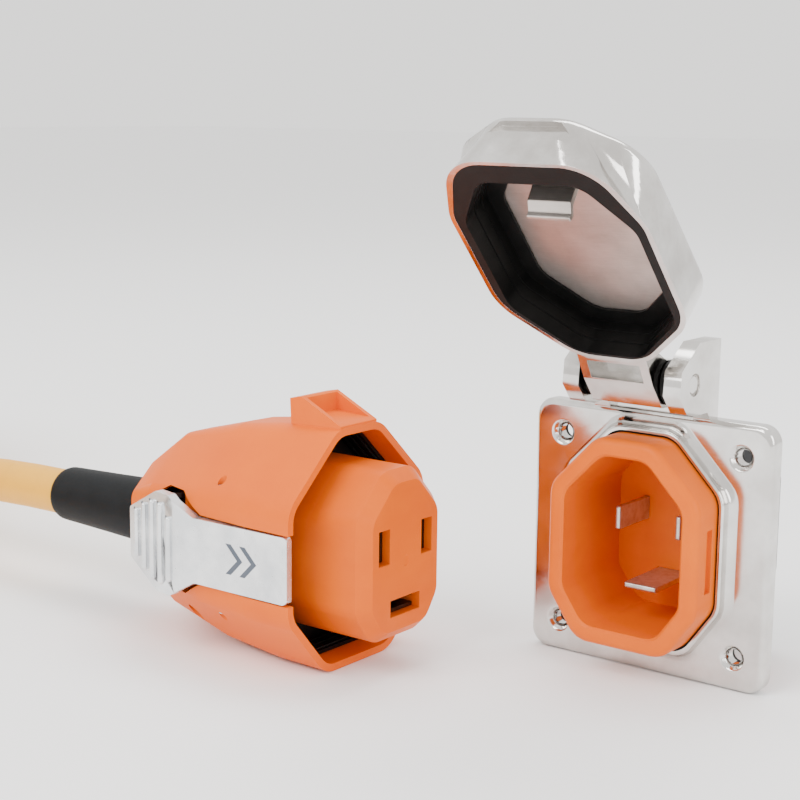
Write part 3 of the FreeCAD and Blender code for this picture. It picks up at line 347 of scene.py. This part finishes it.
@dataclass(frozen=True)
class MouldedPlastic:
    """Satin injection-moulded nylon with a fine spark-eroded grain and faint flow marks."""

    name: str
    colour: Colour
    deep: Colour
    roughness: float = 0.46
    grain: float = 0.00035
    grain_depth: float = 0.00002
    coat: float = 0.04

    def material(self) -> bpy.types.Material:
        """The finish as a material."""
        graph = Graph(self.name)
        cloud = graph.noise(0.022, 3.0, 0.55)
        flow = graph.noise(0.05, 2.0, 0.5, graph.scaled((1.0, 3.0, 6.0)))
        speck = graph.noise(0.0011, 1.0)
        share = (cloud * 0.55 + flow * 0.35 + speck * 0.1).above(0.36, 0.66)
        scuff = graph.noise(0.004, 4.0, 0.7, graph.scaled((1.0, 1.0, 5.0))).above(0.62, 0.75)
        grain = graph.noise(self.grain, 2.0, 0.6)
        orange_peel = graph.noise(0.0028, 2.0, 0.5)
        rough = self.roughness + (cloud - 0.5) * 0.12 + (grain - 0.5) * 0.1 - scuff * 0.05
        return graph.dress(
            Base_Color=graph.mix(share, self.deep, self.colour),
            Roughness=rough,
            Normal=graph.bump(grain * 0.7 + orange_peel * 0.6, self.grain_depth, 0.7),
            Coat_Weight=self.coat,
            Coat_Roughness=0.3,
            Specular_IOR_Level=0.13,
        )


@dataclass(frozen=True)
class PolishedSteel:
    """Buffed stainless steel with faint polishing lines, haze and finger marks."""

    name: str
    colour: Colour = tone(226, 224, 221)
    haze: Colour = tone(198, 194, 190)
    roughness: float = 0.1

    def material(self) -> bpy.types.Material:
        """The finish as a material."""
        graph = Graph(self.name)
        cloud = graph.noise(0.018, 4.0, 0.6)
        marks = graph.noise(0.006, 3.0, 0.65).above(0.55, 0.72)
        lines = graph.noise(0.0005, 2.0, 0.6, graph.scaled((0.05, 1.0, 1.0), (0.3, 0.0, 0.2)))
        wave = graph.noise(0.03, 1.0, 0.4)
        return graph.dress(
            Base_Color=graph.mix(cloud.above(0.35, 0.7), self.haze, self.colour),
            Metallic=1.0,
            Roughness=self.roughness + cloud * 0.06 + marks * 0.07 + (lines - 0.5) * 0.04,
            Normal=graph.bump(wave * 0.9 + lines * 0.012, 0.0003, 0.35),
        )


@dataclass(frozen=True)
class BrushedSteel:
    """Stainless sheet with a straight brushed grain and a few rubs."""

    name: str
    colour: Colour = tone(200, 190, 184)
    dull: Colour = tone(172, 163, 157)
    roughness: float = 0.36

    def material(self) -> bpy.types.Material:
        """The finish as a material."""
        graph = Graph(self.name)
        grain = graph.noise(0.00022, 3.0, 0.7, graph.scaled((0.03, 1.0, 1.0)))
        blotch = graph.noise(0.012, 4.0, 0.6)
        pits = graph.noise(0.0009, 2.0, 0.5).above(0.6, 0.8)
        return graph.dress(
            Base_Color=graph.mix((blotch * 0.6 + grain * 0.4).above(0.35, 0.65), self.dull, self.colour),
            Metallic=0.92,
            Roughness=self.roughness + (grain - 0.5) * 0.2 + pits * 0.1,
            Normal=graph.bump(grain * 0.6 + pits * 0.4, 0.00003, 0.6),
        )


@dataclass(frozen=True)
class SatinCasting:
    """The latch's bright tumbled casting: pale, softly glossy, with rubbed ribs."""

    name: str
    colour: Colour = tone(238, 239, 240)
    shade: Colour = tone(206, 209, 212)

    def material(self) -> bpy.types.Material:
        """The finish as a material."""
        graph = Graph(self.name)
        tumble = graph.noise(0.0016, 4.0, 0.65)
        cloud = graph.noise(0.012, 3.0, 0.55)
        pits = graph.noise(0.0006, 2.0, 0.5).above(0.66, 0.78)
        rub = graph.noise(0.005, 2.0, 0.5, graph.scaled((1.0, 1.0, 0.3))).above(0.5, 0.7)
        return graph.dress(
            Base_Color=graph.mix(cloud.above(0.3, 0.7), self.shade, self.colour),
            Metallic=0.85,
            Roughness=0.2 + tumble * 0.12 + pits * 0.1 - rub * 0.05,
            Normal=graph.bump(tumble * 0.8 + pits * 0.2, 0.00005, 0.5),
            Coat_Weight=0.3,
            Coat_Roughness=0.1,
        )


@dataclass(frozen=True)
class Rubber:
    """Moulded rubber or soft vinyl: dull, with a pebbled skin and pale bloom in places."""

    name: str
    colour: Colour
    bloom: Colour
    roughness: float = 0.55
    pebble: float = 0.0006
    depth: float = 0.00004

    def material(self) -> bpy.types.Material:
        """The finish as a material."""
        graph = Graph(self.name)
        pebbles = graph.noise(self.pebble, 3.0, 0.6)
        dust = graph.noise(0.009, 4.0, 0.65)
        fleck = graph.noise(0.0004, 1.0).above(0.62, 0.8)
        return graph.dress(
            Base_Color=graph.mix((dust.above(0.45, 0.75) * 0.7 + fleck * 0.3).held(), self.colour, self.bloom),
            Roughness=self.roughness + (pebbles - 0.5) * 0.2 + dust.above(0.5, 0.8) * 0.1,
            Normal=graph.bump(pebbles, self.depth, 0.8),
            Specular_IOR_Level=0.16,
        )


@dataclass(frozen=True)
class CordJacket:
    """The cord's yellow vinyl jacket, faintly lined along its length and scuffed by the ground."""

    name: str
    colour: Colour
    worn: Colour

    def material(self) -> bpy.types.Material:
        """The finish as a material."""
        graph = Graph(self.name)
        cloud = graph.noise(0.02, 4.0, 0.6)
        grime = graph.noise(0.006, 4.0, 0.7).above(0.56, 0.76)
        skin = graph.noise(0.0005, 3.0, 0.6)
        ripple = graph.noise(0.006, 1.0, 0.4)
        return graph.dress(
            Base_Color=graph.mix((cloud.above(0.4, 0.7) * 0.6 + grime * 0.4).held(), self.colour, self.worn),
            Roughness=0.5 + grime * 0.14 + (skin - 0.5) * 0.16,
            Normal=graph.bump(skin * 0.35 + ripple * 0.65, 0.00012, 0.6),
        )


@dataclass(frozen=True)
class BareMetal:
    """Plated or plain contact metal and small screws, with handling marks."""

    name: str
    colour: Colour
    tarnish: Colour
    roughness: float = 0.24
    metallic: float = 1.0

    def material(self) -> bpy.types.Material:
        """The finish as a material."""
        graph = Graph(self.name)
        stain = graph.noise(0.004, 4.0, 0.65)
        lines = graph.noise(0.0003, 2.0, 0.6, graph.scaled((1.0, 0.05, 1.0)))
        return graph.dress(
            Base_Color=graph.mix(stain.above(0.4, 0.7), self.colour, self.tarnish),
            Metallic=self.metallic,
            Roughness=self.roughness + stain * 0.1 + (lines - 0.5) * 0.1,
            Normal=graph.bump(lines, 0.00002, 0.4),
        )


@dataclass(frozen=True)
class StrapWeave:
    """A hook-and-loop strap's fuzzy black weave."""

    name: str
    colour: Colour
    fuzz: Colour
    pitch: float = 0.0011

    def material(self) -> bpy.types.Material:
        """The finish as a material."""
        graph = Graph(self.name)
        threads = graph.node(
            "ShaderNodeTexVoronoi", {"feature": "F1"}, {"Vector": graph.place(), "Scale": 1.0 / self.pitch}
        )
        hairs = graph.noise(0.0005, 4.0, 0.7)
        wear = graph.noise(0.011, 3.0, 0.6)
        return graph.dress(
            Base_Color=graph.mix((hairs * 0.6 + wear * 0.4).above(0.4, 0.7), self.colour, self.fuzz),
            Roughness=0.82 + (hairs - 0.5) * 0.2,
            Normal=graph.bump(hairs * 0.5 + (1.0 - threads) * 0.5, 0.0004, 0.8),
            Sheen_Weight=0.4,
            Sheen_Roughness=0.5,
        )


@dataclass(frozen=True)
class StudioFloor:
    """A plain pale sweep."""

    name: str
    colour: Colour = tone(250, 250, 250)

    def material(self) -> bpy.types.Material:
        """The finish as a material."""
        graph = Graph(self.name)
        return graph.dress(Base_Color=self.colour, Roughness=0.85, Specular_IOR_Level=0.2)


@dataclass
class Finishes:
    """Every finish of the set, made once."""

    shell: bpy.types.Material = field(
        default_factory=lambda: MouldedPlastic(
            "shell_orange", tone(228, 102, 0), tone(220, 94, 0)
        ).material()
    )
    socket: bpy.types.Material = field(
        default_factory=lambda: MouldedPlastic(
            "socket_orange", tone(220, 98, 0), tone(212, 90, 0), roughness=0.42
        ).material()
    )
    shroud: bpy.types.Material = field(
        default_factory=lambda: MouldedPlastic(
            "shroud_orange", tone(222, 102, 0), tone(214, 94, 0), roughness=0.42
        ).material()
    )
    steel: bpy.types.Material = field(default_factory=lambda: PolishedSteel("polished_steel").material())
    brushed: bpy.types.Material = field(default_factory=lambda: BrushedSteel("brushed_steel").material())
    latch: bpy.types.Material = field(default_factory=lambda: SatinCasting("latch_casting").material())
    seal: bpy.types.Material = field(
        default_factory=lambda: Rubber(
            "seal_rubber", tone(6, 6, 6), tone(20, 19, 18), roughness=0.44
        ).material()
    )
    sleeve: bpy.types.Material = field(
        default_factory=lambda: Rubber(
            "sleeve_vinyl", tone(14, 16, 18), tone(24, 26, 29), roughness=0.58, depth=0.00006
        ).material()
    )
    jacket: bpy.types.Material = field(
        default_factory=lambda: CordJacket("cord_jacket", tone(236, 170, 34), tone(226, 162, 44)).material()
    )
    nickel: bpy.types.Material = field(
        default_factory=lambda: BareMetal(
            "blade_nickel", tone(200, 196, 190), tone(170, 164, 156), roughness=0.26, metallic=0.85
        ).material()
    )
    grip: bpy.types.Material = field(
        default_factory=lambda: Rubber(
            "plug_vinyl", tone(228, 164, 54), tone(214, 156, 60), roughness=0.5, depth=0.00006
        ).material()
    )
    bronze: bpy.types.Material = field(
        default_factory=lambda: BareMetal("contact_bronze", tone(74, 56, 44), tone(44, 34, 28), 0.4).material()
    )
    brass: bpy.types.Material = field(
        default_factory=lambda: BareMetal("plug_brass", tone(214, 176, 96), tone(180, 140, 78)).material()
    )
    screw: bpy.types.Material = field(
        default_factory=lambda: BareMetal("screw_steel", tone(190, 190, 188), tone(150, 148, 145), 0.32).material()
    )
    nylon: bpy.types.Material = field(
        default_factory=lambda: MouldedPlastic(
            "black_nylon", tone(38, 38, 40), tone(28, 28, 30), roughness=0.5, grain_depth=0.00004
        ).material()
    )
    pale_nylon: bpy.types.Material = field(
        default_factory=lambda: MouldedPlastic(
            "pale_nylon", tone(214, 212, 204), tone(200, 198, 190), roughness=0.45
        ).material()
    )
    green_nylon: bpy.types.Material = field(
        default_factory=lambda: MouldedPlastic("green_nylon", tone(30, 120, 60), tone(24, 104, 52)).material()
    )
    strap: bpy.types.Material = field(
        default_factory=lambda: StrapWeave("tie_strap", tone(26, 26, 28), tone(58, 58, 62)).material()
    )
    mark: bpy.types.Material = field(
        default_factory=lambda: MouldedPlastic(
            "mark_enamel", tone(92, 98, 108), tone(80, 86, 96), roughness=0.35
        ).material()
    )


# ---------------------------------------------------------------- making and placing pieces


def smooth_faces(mesh: bpy.types.Mesh) -> None:
    """Sets every face of a mesh to smooth shading."""
    mesh.polygons.foreach_set("use_smooth", [True] * len(mesh.polygons))


def new_piece(
    name: str, bm: bmesh.types.BMesh, body: Body, material: bpy.types.Material
) -> bpy.types.Object:
    """Turns a bmesh into a piece that rides on a body.

    Args:
        name: The piece's name.
        bm: Its shape in the row frame, which is freed.
        body: The body that it rides on.
        material: Its finish.

    Returns:
        The new object.
    """
    mesh = bpy.data.meshes.new(name)
    bm.to_mesh(mesh)
    bm.free()
    smooth_faces(mesh)
    mesh.materials.append(material)
    piece = bpy.data.objects.new(name, mesh)
    bpy.context.scene.collection.objects.link(piece)
    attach(piece, body.value)
    LOG.info("%s: %d faces, rides on %s", name, len(mesh.polygons), body.value)
    return piece


def add_easing(piece: bpy.types.Object, width: float, segments: int, angle: float) -> None:
    """Rounds a piece's edges, and shades its flats flat.

    Args:
        piece: The piece.
        width: The bevel's width in metres.
        segments: Its segments.
        angle: The smallest turn of an edge that is rounded, in degrees.
    """
    bevel = piece.modifiers.new("eased_edges", "BEVEL")
    bevel.width = width
    bevel.segments = segments
    bevel.limit_method = "ANGLE"
    bevel.angle_limit = math.radians(angle)
    bevel.use_clamp_overlap = True
    bevel.miter_outer = "MITER_ARC"
    normals = piece.modifiers.new("weighted_normals", "WEIGHTED_NORMAL")
    normals.keep_sharp = True
    normals.weight = 60


def eased(
    node: str, material: bpy.types.Material, width: float = 0.0003, segments: int = 2, angle: float = 34.0,
    join_flats: bool = True,
) -> bpy.types.Object:
    """A moulded or cast part with its edges broken, made from a CAD node and shown in its place.

    Args:
        node: The CAD node's name.
        material: Its finish.
        width: The width of the broken edges in metres.
        segments: The segments across one.
        angle: The smallest turn of an edge that is broken, in degrees.
        join_flats: Whether the triangles of a flat are joined first. A flat with several holes stays apart.

    Returns:
        The new piece.
    """
    bm = bmesh.new()
    bm.from_mesh(frame["nodes"][node].data)
    bmesh.ops.remove_doubles(bm, verts=bm.verts, dist=2e-6)
    if join_flats:
        bmesh.ops.dissolve_limit(
            bm, angle_limit=math.radians(0.4), use_dissolve_boundaries=False, verts=bm.verts, edges=bm.edges,
            delimit={"NORMAL"},
        )
    for layer in list(bm.loops.layers.uv.values()):
        bm.loops.layers.uv.remove(layer)
    piece = new_piece(f"{node}_eased", bm, Body(body_of(frame["nodes"][node])[0]), material)
    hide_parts(node)
    add_easing(piece, width, segments, angle)
    return piece


def dress_nodes(material: bpy.types.Material, *nodes: str) -> None:
    """Gives CAD nodes that stay as they are a finish.

    Args:
        material: The finish.
        nodes: The nodes' names.
    """
    for node in nodes:
        slots = frame["nodes"][node].data.materials
        slots.clear()
        slots.append(material)
        LOG.info("%s: dressed", node)


def turned(
    profile: list[tuple[float, float]], centre: Vector, axis: Vector, start: Vector, steps: int = 64
) -> bmesh.types.BMesh:
    """A turned shape, from a profile spun once round an axis.

    Args:
        profile: Distance along the axis and radius of each point, in metres. Ends at radius 0 are closed.
        centre: A point on the axis, where the distance is 0.
        axis: The axis's direction.
        start: A direction square to the axis.
        steps: The steps of the full turn.

    Returns:
        The shape, with its normals outwards.
    """
    bm = bmesh.new()
    line = [bm.verts.new(centre + axis * along + start * radius) for along, radius in profile]
    edges = [bm.edges.new(pair) for pair in zip(line, line[1:])]
    bmesh.ops.spin(
        bm, geom=line + edges, cent=centre, axis=axis, angle=math.tau, steps=steps, use_merge=True,
        use_normal_flip=False, use_duplicate=False,
    )
    bmesh.ops.remove_doubles(bm, verts=bm.verts, dist=1e-6)
    bmesh.ops.recalc_face_normals(bm, faces=bm.faces)
    return bm


# ---------------------------------------------------------------- camera and light


@dataclass
class Studio:
    """The camera, the floor and the soft lights."""

    eye: Vector = field(default_factory=lambda: Vector((0.2604, -0.4811, 0.1435)))
    heading: float = math.radians(37.5)
    pitch: float = math.radians(10.17)
    roll: float = math.radians(0.65)
    lens: float = 74.25
    floor_z: float = -0.04445

    def add_camera(self) -> None:
        """Adds the camera and makes it the scene's."""
        forward = Vector((
            -math.sin(self.heading) * math.cos(self.pitch),
            math.cos(self.heading) * math.cos(self.pitch),
            -math.sin(self.pitch),
        ))
        level = Vector((math.cos(self.heading), math.sin(self.heading), 0.0))
        up = level.cross(forward)
        right = level * math.cos(self.roll) + up * math.sin(self.roll)
        up = right.cross(forward)
        data = bpy.data.cameras.new("camera")
        data.lens = self.lens
        data.sensor_width = 36.0
        data.clip_start = 0.01
        data.clip_end = 100.0
        camera = bpy.data.objects.new("camera", data)
        axes = Matrix((right, up, -forward)).transposed().to_4x4()
        camera.matrix_world = Matrix.Translation(self.eye) @ axes
        bpy.context.scene.collection.objects.link(camera)
        bpy.context.scene.camera = camera

    def add_floor(self) -> None:
        """Adds the pale floor."""
        bm = bmesh.new()
        bmesh.ops.create_grid(bm, x_segments=1, y_segments=1, size=9.0)
        bmesh.ops.translate(bm, verts=bm.verts, vec=(0.0, 0.0, self.floor_z - 0.0002))
        mesh = bpy.data.meshes.new("studio_floor")
        bm.to_mesh(mesh)
        bm.free()
        mesh.materials.append(StudioFloor("floor_sweep").material())
        floor = bpy.data.objects.new("studio_floor", mesh)
        bpy.context.scene.collection.objects.link(floor)

    def add_light(
        self, name: str, place: tuple[float, float, float], aim: tuple[float, float, float],
        size: tuple[float, float], power: float, colour: tuple[float, float, float] = (1.0, 1.0, 1.0),
    ) -> None:
        """Adds one soft box.

        Args:
            name: The light's name.
            place: Where it stands.
            aim: The point that it faces.
            size: Its width and height.
            power: Its power in watts.
            colour: Its colour.
        """
        data = bpy.data.lights.new(name, "AREA")
        data.shape = "RECTANGLE"
        data.size, data.size_y = size
        data.energy = power
        data.color = colour
        lamp = bpy.data.objects.new(name, data)
        lamp.location = place
        lamp.rotation_mode = "QUATERNION"
        lamp.rotation_quaternion = (Vector(aim) - Vector(place)).to_track_quat("-Z", "Y")
        bpy.context.scene.collection.objects.link(lamp)

    def add_surroundings(self) -> None:
        """Adds the even room light, a little warm."""
        world = bpy.data.worlds.new("white_room")
        world.use_nodes = True
        background = world.node_tree.nodes["Background"]
        background.inputs["Color"].default_value = (1.0, 0.988, 0.968, 1.0)
        background.inputs["Strength"].default_value = 1.6
        bpy.context.scene.world = world

    def build(self) -> None:
        """Adds everything."""
        self.add_camera()
        self.add_floor()
        self.add_surroundings()
        aim = (-0.03, -0.03, 0.02)
        self.add_light("key_box", (-0.35, -1.3, 1.25), aim, (0.9, 0.9), 22.0)
        self.add_light("side_box", (1.3, -0.5, 0.6), aim, (0.5, 1.0), 9.0)
        self.add_light("top_box", (-0.2, 0.5, 1.5), aim, (1.2, 0.6), 14.0)


# ---------------------------------------------------------------- cord


@dataclass
class Cord:
    """The yellow cord: out of its sleeve, down to the floor, into a tied coil, and on to its plug."""

    diameter: float = 0.0175
    length: float = 7.6
    turn_z: float = -0.03335
    coil_centre: tuple[float, float] = (-0.485, -0.0781)
    coil_r: float = 0.0945
    middle_column: int = 1
    points_a_turn: int = 24
    joins_at: float = 60.0
    leaves_at: float = 4590.0
    route: tuple[tuple[float, float, float], ...] = (
        (-0.2253, -0.0603, -0.00775),
        (-0.2700, -0.0603, -0.00775),
        (-0.3250, -0.0535, -0.0175),
        (-0.3710, -0.0300, -0.0295),
        (-0.4115, 0.0055, -0.03335),
    )
    tail_route: tuple[tuple[float, float, float], ...] = (
        (-0.4810, -0.1901, -0.03335),
        (-0.4460, -0.1889, -0.03335),
        (-0.4040, -0.1780, -0.02245),
        (-0.3660, -0.1780, -0.02245),
    )
    lanes: tuple[tuple[int, int], ...] = (
        (2, 0), (2, 1), (2, 2), (2, 3), (1, 3), (1, 4), (0, 4), (0, 3), (0, 2), (1, 2), (1, 1), (0, 1), (0, 0),
        (1, 0), (2, 0),
    )
    first_climb: float = 160.0
    last_move: float = 4500.0
    move_span: float = 55.0

    def moves(self) -> list[float]:
        """The angles at which the cord starts to pass to its next lane: once a turn, between two others."""
        turns = [450.0 + 360.0 * turn - 0.5 * self.move_span for turn in range(len(self.lanes) - 3)]
        return [self.first_climb, *turns, self.last_move]

    def lane(self, angle: float) -> tuple[float, float]:
        """Where the cord lies in the coil's section.

        Args:
            angle: Degrees wound so far, counted from the +X side of the first turn.

        Returns:
            The column and the row, which pass smoothly from one lane to the next.
        """
        column, row = self.lanes[0]
        for (from_column, from_row), (to_column, to_row), start in zip(self.lanes, self.lanes[1:], self.moves()):
            share = min(max((angle - start) / self.move_span, 0.0), 1.0)
            share = share * share * (3 - 2 * share)
            if share > 0:
                column = from_column + (to_column - from_column) * share
                row = from_row + (to_row - from_row) * share
        return column, row

    def coil_points(self) -> list[Vector]:
        """The control points of the coil's turns."""
        points = []
        step = 360.0 / self.points_a_turn
        overshoot = 0.75 + 0.25 * math.cos(math.radians(step))
        angle = self.joins_at
        while angle < self.leaves_at - 0.5 * step:
            column, row = self.lane(angle)
            radius = (self.coil_r + (column - self.middle_column) * self.diameter) / overshoot
            turn = math.radians(angle)
            points.append(Vector((
                self.coil_centre[0] + radius * math.cos(turn),
                self.coil_centre[1] + radius * math.sin(turn),
                self.turn_z + row * self.diameter,
            )))
            angle += step
        return points

    def build(self, finishes: Finishes) -> bpy.types.Object:
        """Lays the cord.

        Args:
            finishes: The set's finishes.

        Returns:
            The cord.
        """
        points = [Vector(p) for p in self.route] + self.coil_points() + [Vector(p) for p in self.tail_route]
        curve = bpy.data.curves.new("power_cord", "CURVE")
        curve.dimensions = "3D"
        spline = curve.splines.new("NURBS")
        spline.points.add(len(points) - 1)
        for slot, point in zip(spline.points, points):
            slot.co = (*point, 1.0)
        spline.order_u = 3
        spline.use_endpoint_u = True
        spline.resolution_u = 4
        curve.bevel_depth = self.diameter / 2
        curve.bevel_resolution = 6
        curve.use_fill_caps = True
        curve.materials.append(finishes.jacket)
        cord = bpy.data.objects.new("power_cord", curve)
        bpy.context.scene.collection.objects.link(cord)
        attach(cord, Body.CORD_SET.value)
        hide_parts("cord", "cord_coil", "cord_tail")
        LOG.info("power_cord: %d control points", len(points))
        return cord


@dataclass
class SupplyEnd:
    """The coil's two straps and the locking plug on the cord's far end."""

    def build(self, finishes: Finishes) -> list[bpy.types.Object]:
        """Makes the straps and the plug.

        Args:
            finishes: The set's finishes.

        Returns:
            The pieces that lie on the cord.
        """
        ties = [
            eased(node, finishes.strap, 0.0005, 2)
            for node in ("coil_tie_front", "coil_tie_back")
        ]
        grip = eased("plug_body", finishes.grip, 0.0008, 3)
        face = eased("plug_face", finishes.nylon, 0.0004, 2)
        sleeve = eased("plug_relief", finishes.grip, 0.001, 3)
        blades = [
            eased(f"plug_blade_{name}", finishes.brass, 0.0002, 2)
            for name in ("line", "neutral", "ground")
        ]
        return ties + [grip, face, sleeve] + blades


# ---------------------------------------------------------------- connector


@dataclass
class Connector:
    """The cord's moulded connector: two shell halves, the socket block, its seal, the latches and the sleeve."""

    face: Vector = field(default_factory=lambda: Vector((-0.0593, -0.0603, -0.00525)))
    sleeve_drop: float = 0.0025
    sleeve_profile: tuple[tuple[float, float], ...] = (
        (0.1059, 0.0124), (0.1104, 0.01235), (0.1200, 0.0121), (0.1400, 0.0113), (0.1550, 0.01075),
        (0.1615, 0.01055), (0.1642, 0.0104), (0.1655, 0.00995), (0.1660, 0.0093), (0.1660, 0.0088),
    )
    strap_out: float = 0.0365
    mark_back: float = 0.0335
    mark_size: float = 0.0052
    pad_crest_out: float = 0.0381
    pad_crest_back: float = 0.07
    pad_slope: float = math.atan(6.2 / 27.5)
    groove_first_back: float = 0.0743
    groove_pitch: float = 0.005
    groove_spans: tuple[tuple[float, float], ...] = (
        (-0.0125, 0.0105), (-0.0145, 0.0145), (-0.0140, 0.0145), (-0.0115, 0.0125), (-0.0080, 0.0095),
    )
    # Width, thickness and sinking of the black strips that paint shade into the latch grooves.
    groove_shade_w: float = 0.0011
    groove_shade_t: float = 0.0004
    groove_shade_sunk: float = 0.00055

    def sleeve(self, finishes: Finishes) -> bpy.types.Object:
        """The grey tapered sleeve where the cord leaves the shell."""
        centre = self.face + Vector((0.0, 0.0, -self.sleeve_drop))
        profile = [(along, radius) for along, radius in self.sleeve_profile]
        profile += [(0.1059, 0.0088), (0.1059, 0.0124)]
        bm = turned(profile, centre, Vector((-1, 0, 0)), Vector((0, 0, 1)), 72)
        piece = new_piece("cord_sleeve", bm, Body.CORD_SET, finishes.sleeve)
        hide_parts("strain_relief")
        return piece

    def chevrons(self, finishes: Finishes, latch: Body, side: int) -> bpy.types.Object:
        """Two plain chevrons let into the latch, which show the way that it slides home.

        Args:
            finishes: The set's finishes.
            latch: The latch's body.
            side: -1 for the latch on the -Y side and 1 for the other.

        Returns:
            The inlay.
        """
        strap = self.face.y + side * self.strap_out
        depth = 0.0006
        bm = bmesh.new()
        for number in range(2):
            x = self.face.x - self.mark_back - 0.0062 * number
            arm = self.mark_size
            corners = [(0.0, 0.0), (-arm, arm), (-arm - 0.0024, arm), (-0.0024, 0.0), (-arm - 0.0024, -arm), (-arm, -arm)]
            ring = [bm.verts.new((x + dx, strap - side * depth, self.face.z + dz)) for dx, dz in corners]
            flat = bm.faces.new(ring)
            raised = bmesh.ops.extrude_face_region(bm, geom=[flat])
            moved = [v for v in raised["geom"] if isinstance(v, bmesh.types.BMVert)]
            bmesh.ops.translate(bm, verts=moved, vec=(0.0, side * (depth + 0.00012), 0.0))
        bmesh.ops.recalc_face_normals(bm, faces=bm.faces)
        piece = new_piece(f"{latch.value}_chevrons", bm, latch, finishes.mark)
        add_easing(piece, 0.00012, 2, 34.0)
        return piece

    def groove_painted_shade(self, finishes: Finishes, latch: Body, side: int) -> bpy.types.Object:
        """Dark strips laid at the bottom of the grooves beside the latch pad's ribs: painted shade that stands for
        the shadow in the grooves.

        Args:
            finishes: The set's finishes.
            latch: The latch's body.
            side: -1 for the latch on the -Y side and 1 for the other.

        Returns:
            The strips of painted shade.
        """
        # Each strip is a thin black bar sunk just under the pad's face beside a rib, as painted shade.
        bm = bmesh.new()
        for number, (low, high) in enumerate(self.groove_spans):
            back = self.groove_first_back + self.groove_pitch * number
            out = self.pad_crest_out - (back - self.pad_crest_back) * math.tan(self.pad_slope)
            place = self.face + Vector((-back, side * (out - self.groove_shade_sunk), (low + high) / 2))
            bar = bmesh.ops.create_cube(bm, size=1.0)["verts"]
            size = (self.groove_shade_w, self.groove_shade_t, high - low - self.groove_shade_w)
            bmesh.ops.scale(bm, verts=bar, vec=size)
            turn = Matrix.Rotation(side * self.pad_slope, 3, "Z")
            bmesh.ops.rotate(bm, verts=bar, cent=(0.0, 0.0, 0.0), matrix=turn)
            bmesh.ops.translate(bm, verts=bar, vec=place)
        piece = new_piece(f"{latch.value}_groove_painted_shade", bm, latch, finishes.nylon)
        add_easing(piece, 0.0001, 2, 34.0)
        return piece

    def build(self, finishes: Finishes) -> None:
        """Makes the connector's pieces.

        Args:
            finishes: The set's finishes.
        """
        eased("shell_upper", finishes.shell, 0.0008, 3)
        eased("shell_lower", finishes.shell, 0.0008, 3)
        eased("socket_block", finishes.socket, 0.0007, 3, 24.0)
        eased("seal_liner", finishes.seal, 0.0002, 2)
        eased("latch_left", finishes.latch, 0.0005, 3)
        eased("latch_right", finishes.latch, 0.0005, 3)
        self.sleeve(finishes)
        for latch, side in ((Body.LATCH_LEFT, -1), (Body.LATCH_RIGHT, 1)):
            self.chevrons(finishes, latch, side)
            # The dark strips in the latch grooves are painted shade.
            self.groove_painted_shade(finishes, latch, side)
        dress_nodes(finishes.bronze, "contact_line", "contact_neutral", "contact_ground")
        dress_nodes(finishes.nylon, "contact_carrier", "cable_clamp", "wire_line")
        dress_nodes(finishes.pale_nylon, "wire_neutral")
        dress_nodes(finishes.green_nylon, "wire_ground")
        dress_nodes(
            finishes.screw, "carrier_screws", "shell_screws", "clamp_screws", "latch_pin_left", "latch_pin_right",
            "latch_spring_left", "latch_spring_right",
        )
        dress_nodes(finishes.jacket, "cord_end")


# ---------------------------------------------------------------- inlet and lid


@dataclass
class Inlet:
    """The panel inlet: polished plate, orange shroud, blades, terminal block and hinge pin."""

    def build(self, finishes: Finishes) -> None:
        """Makes the inlet's pieces.

        Args:
            finishes: The set's finishes.
        """
        eased("inlet_plate", finishes.steel, 0.0005, 3, 50.0)
        eased("inlet_shroud", finishes.shroud, 0.0004, 2, join_flats=False)
        eased("shroud_seal", finishes.seal, 0.0001, 2)
        eased("panel_gasket", finishes.seal, 0.0003, 2)
        eased("terminal_block", finishes.nylon, 0.0006, 2)
        for name in ("line", "neutral", "ground"):
            eased(f"blade_{name}", finishes.nickel, 0.0003, 2)
        eased("hinge_pin", finishes.steel, 0.0004, 2)
        eased("hinge_washers", finishes.seal, 0.0002, 2)
        dress_nodes(finishes.screw, "terminal_screws")


@dataclass
class Lid:
    """The hinged lid: polished shell, stepped seal, brushed inner plate, hook and spring."""

    def build(self, finishes: Finishes) -> None:
        """Makes the lid's pieces.

        Args:
            finishes: The set's finishes.
        """
        eased("lid_shell", finishes.steel, 0.0004, 3, 60.0)
        eased("lid_gasket", finishes.seal, 0.0004, 2)
        eased("lid_plate", finishes.brushed, 0.0001, 2)
        eased("lid_hook", finishes.brushed, 0.0003, 2)
        dress_nodes(finishes.screw, "lid_spring")


def main() -> None:
    """Builds the set in order: camera and cord first, then the connector, the inlet and the lid."""
    logging.basicConfig(level=logging.INFO, format="%(name)s %(message)s")
    Studio().build()
    finishes = Finishes()
    route = Cord()
    cord = route.build(finishes)
    on_cord = SupplyEnd().build(finishes)
    connector = Connector()
    connector.build(finishes)
    Inlet().build(finishes)
    Lid().build(finishes)


if __name__ == "__main__":
    main()
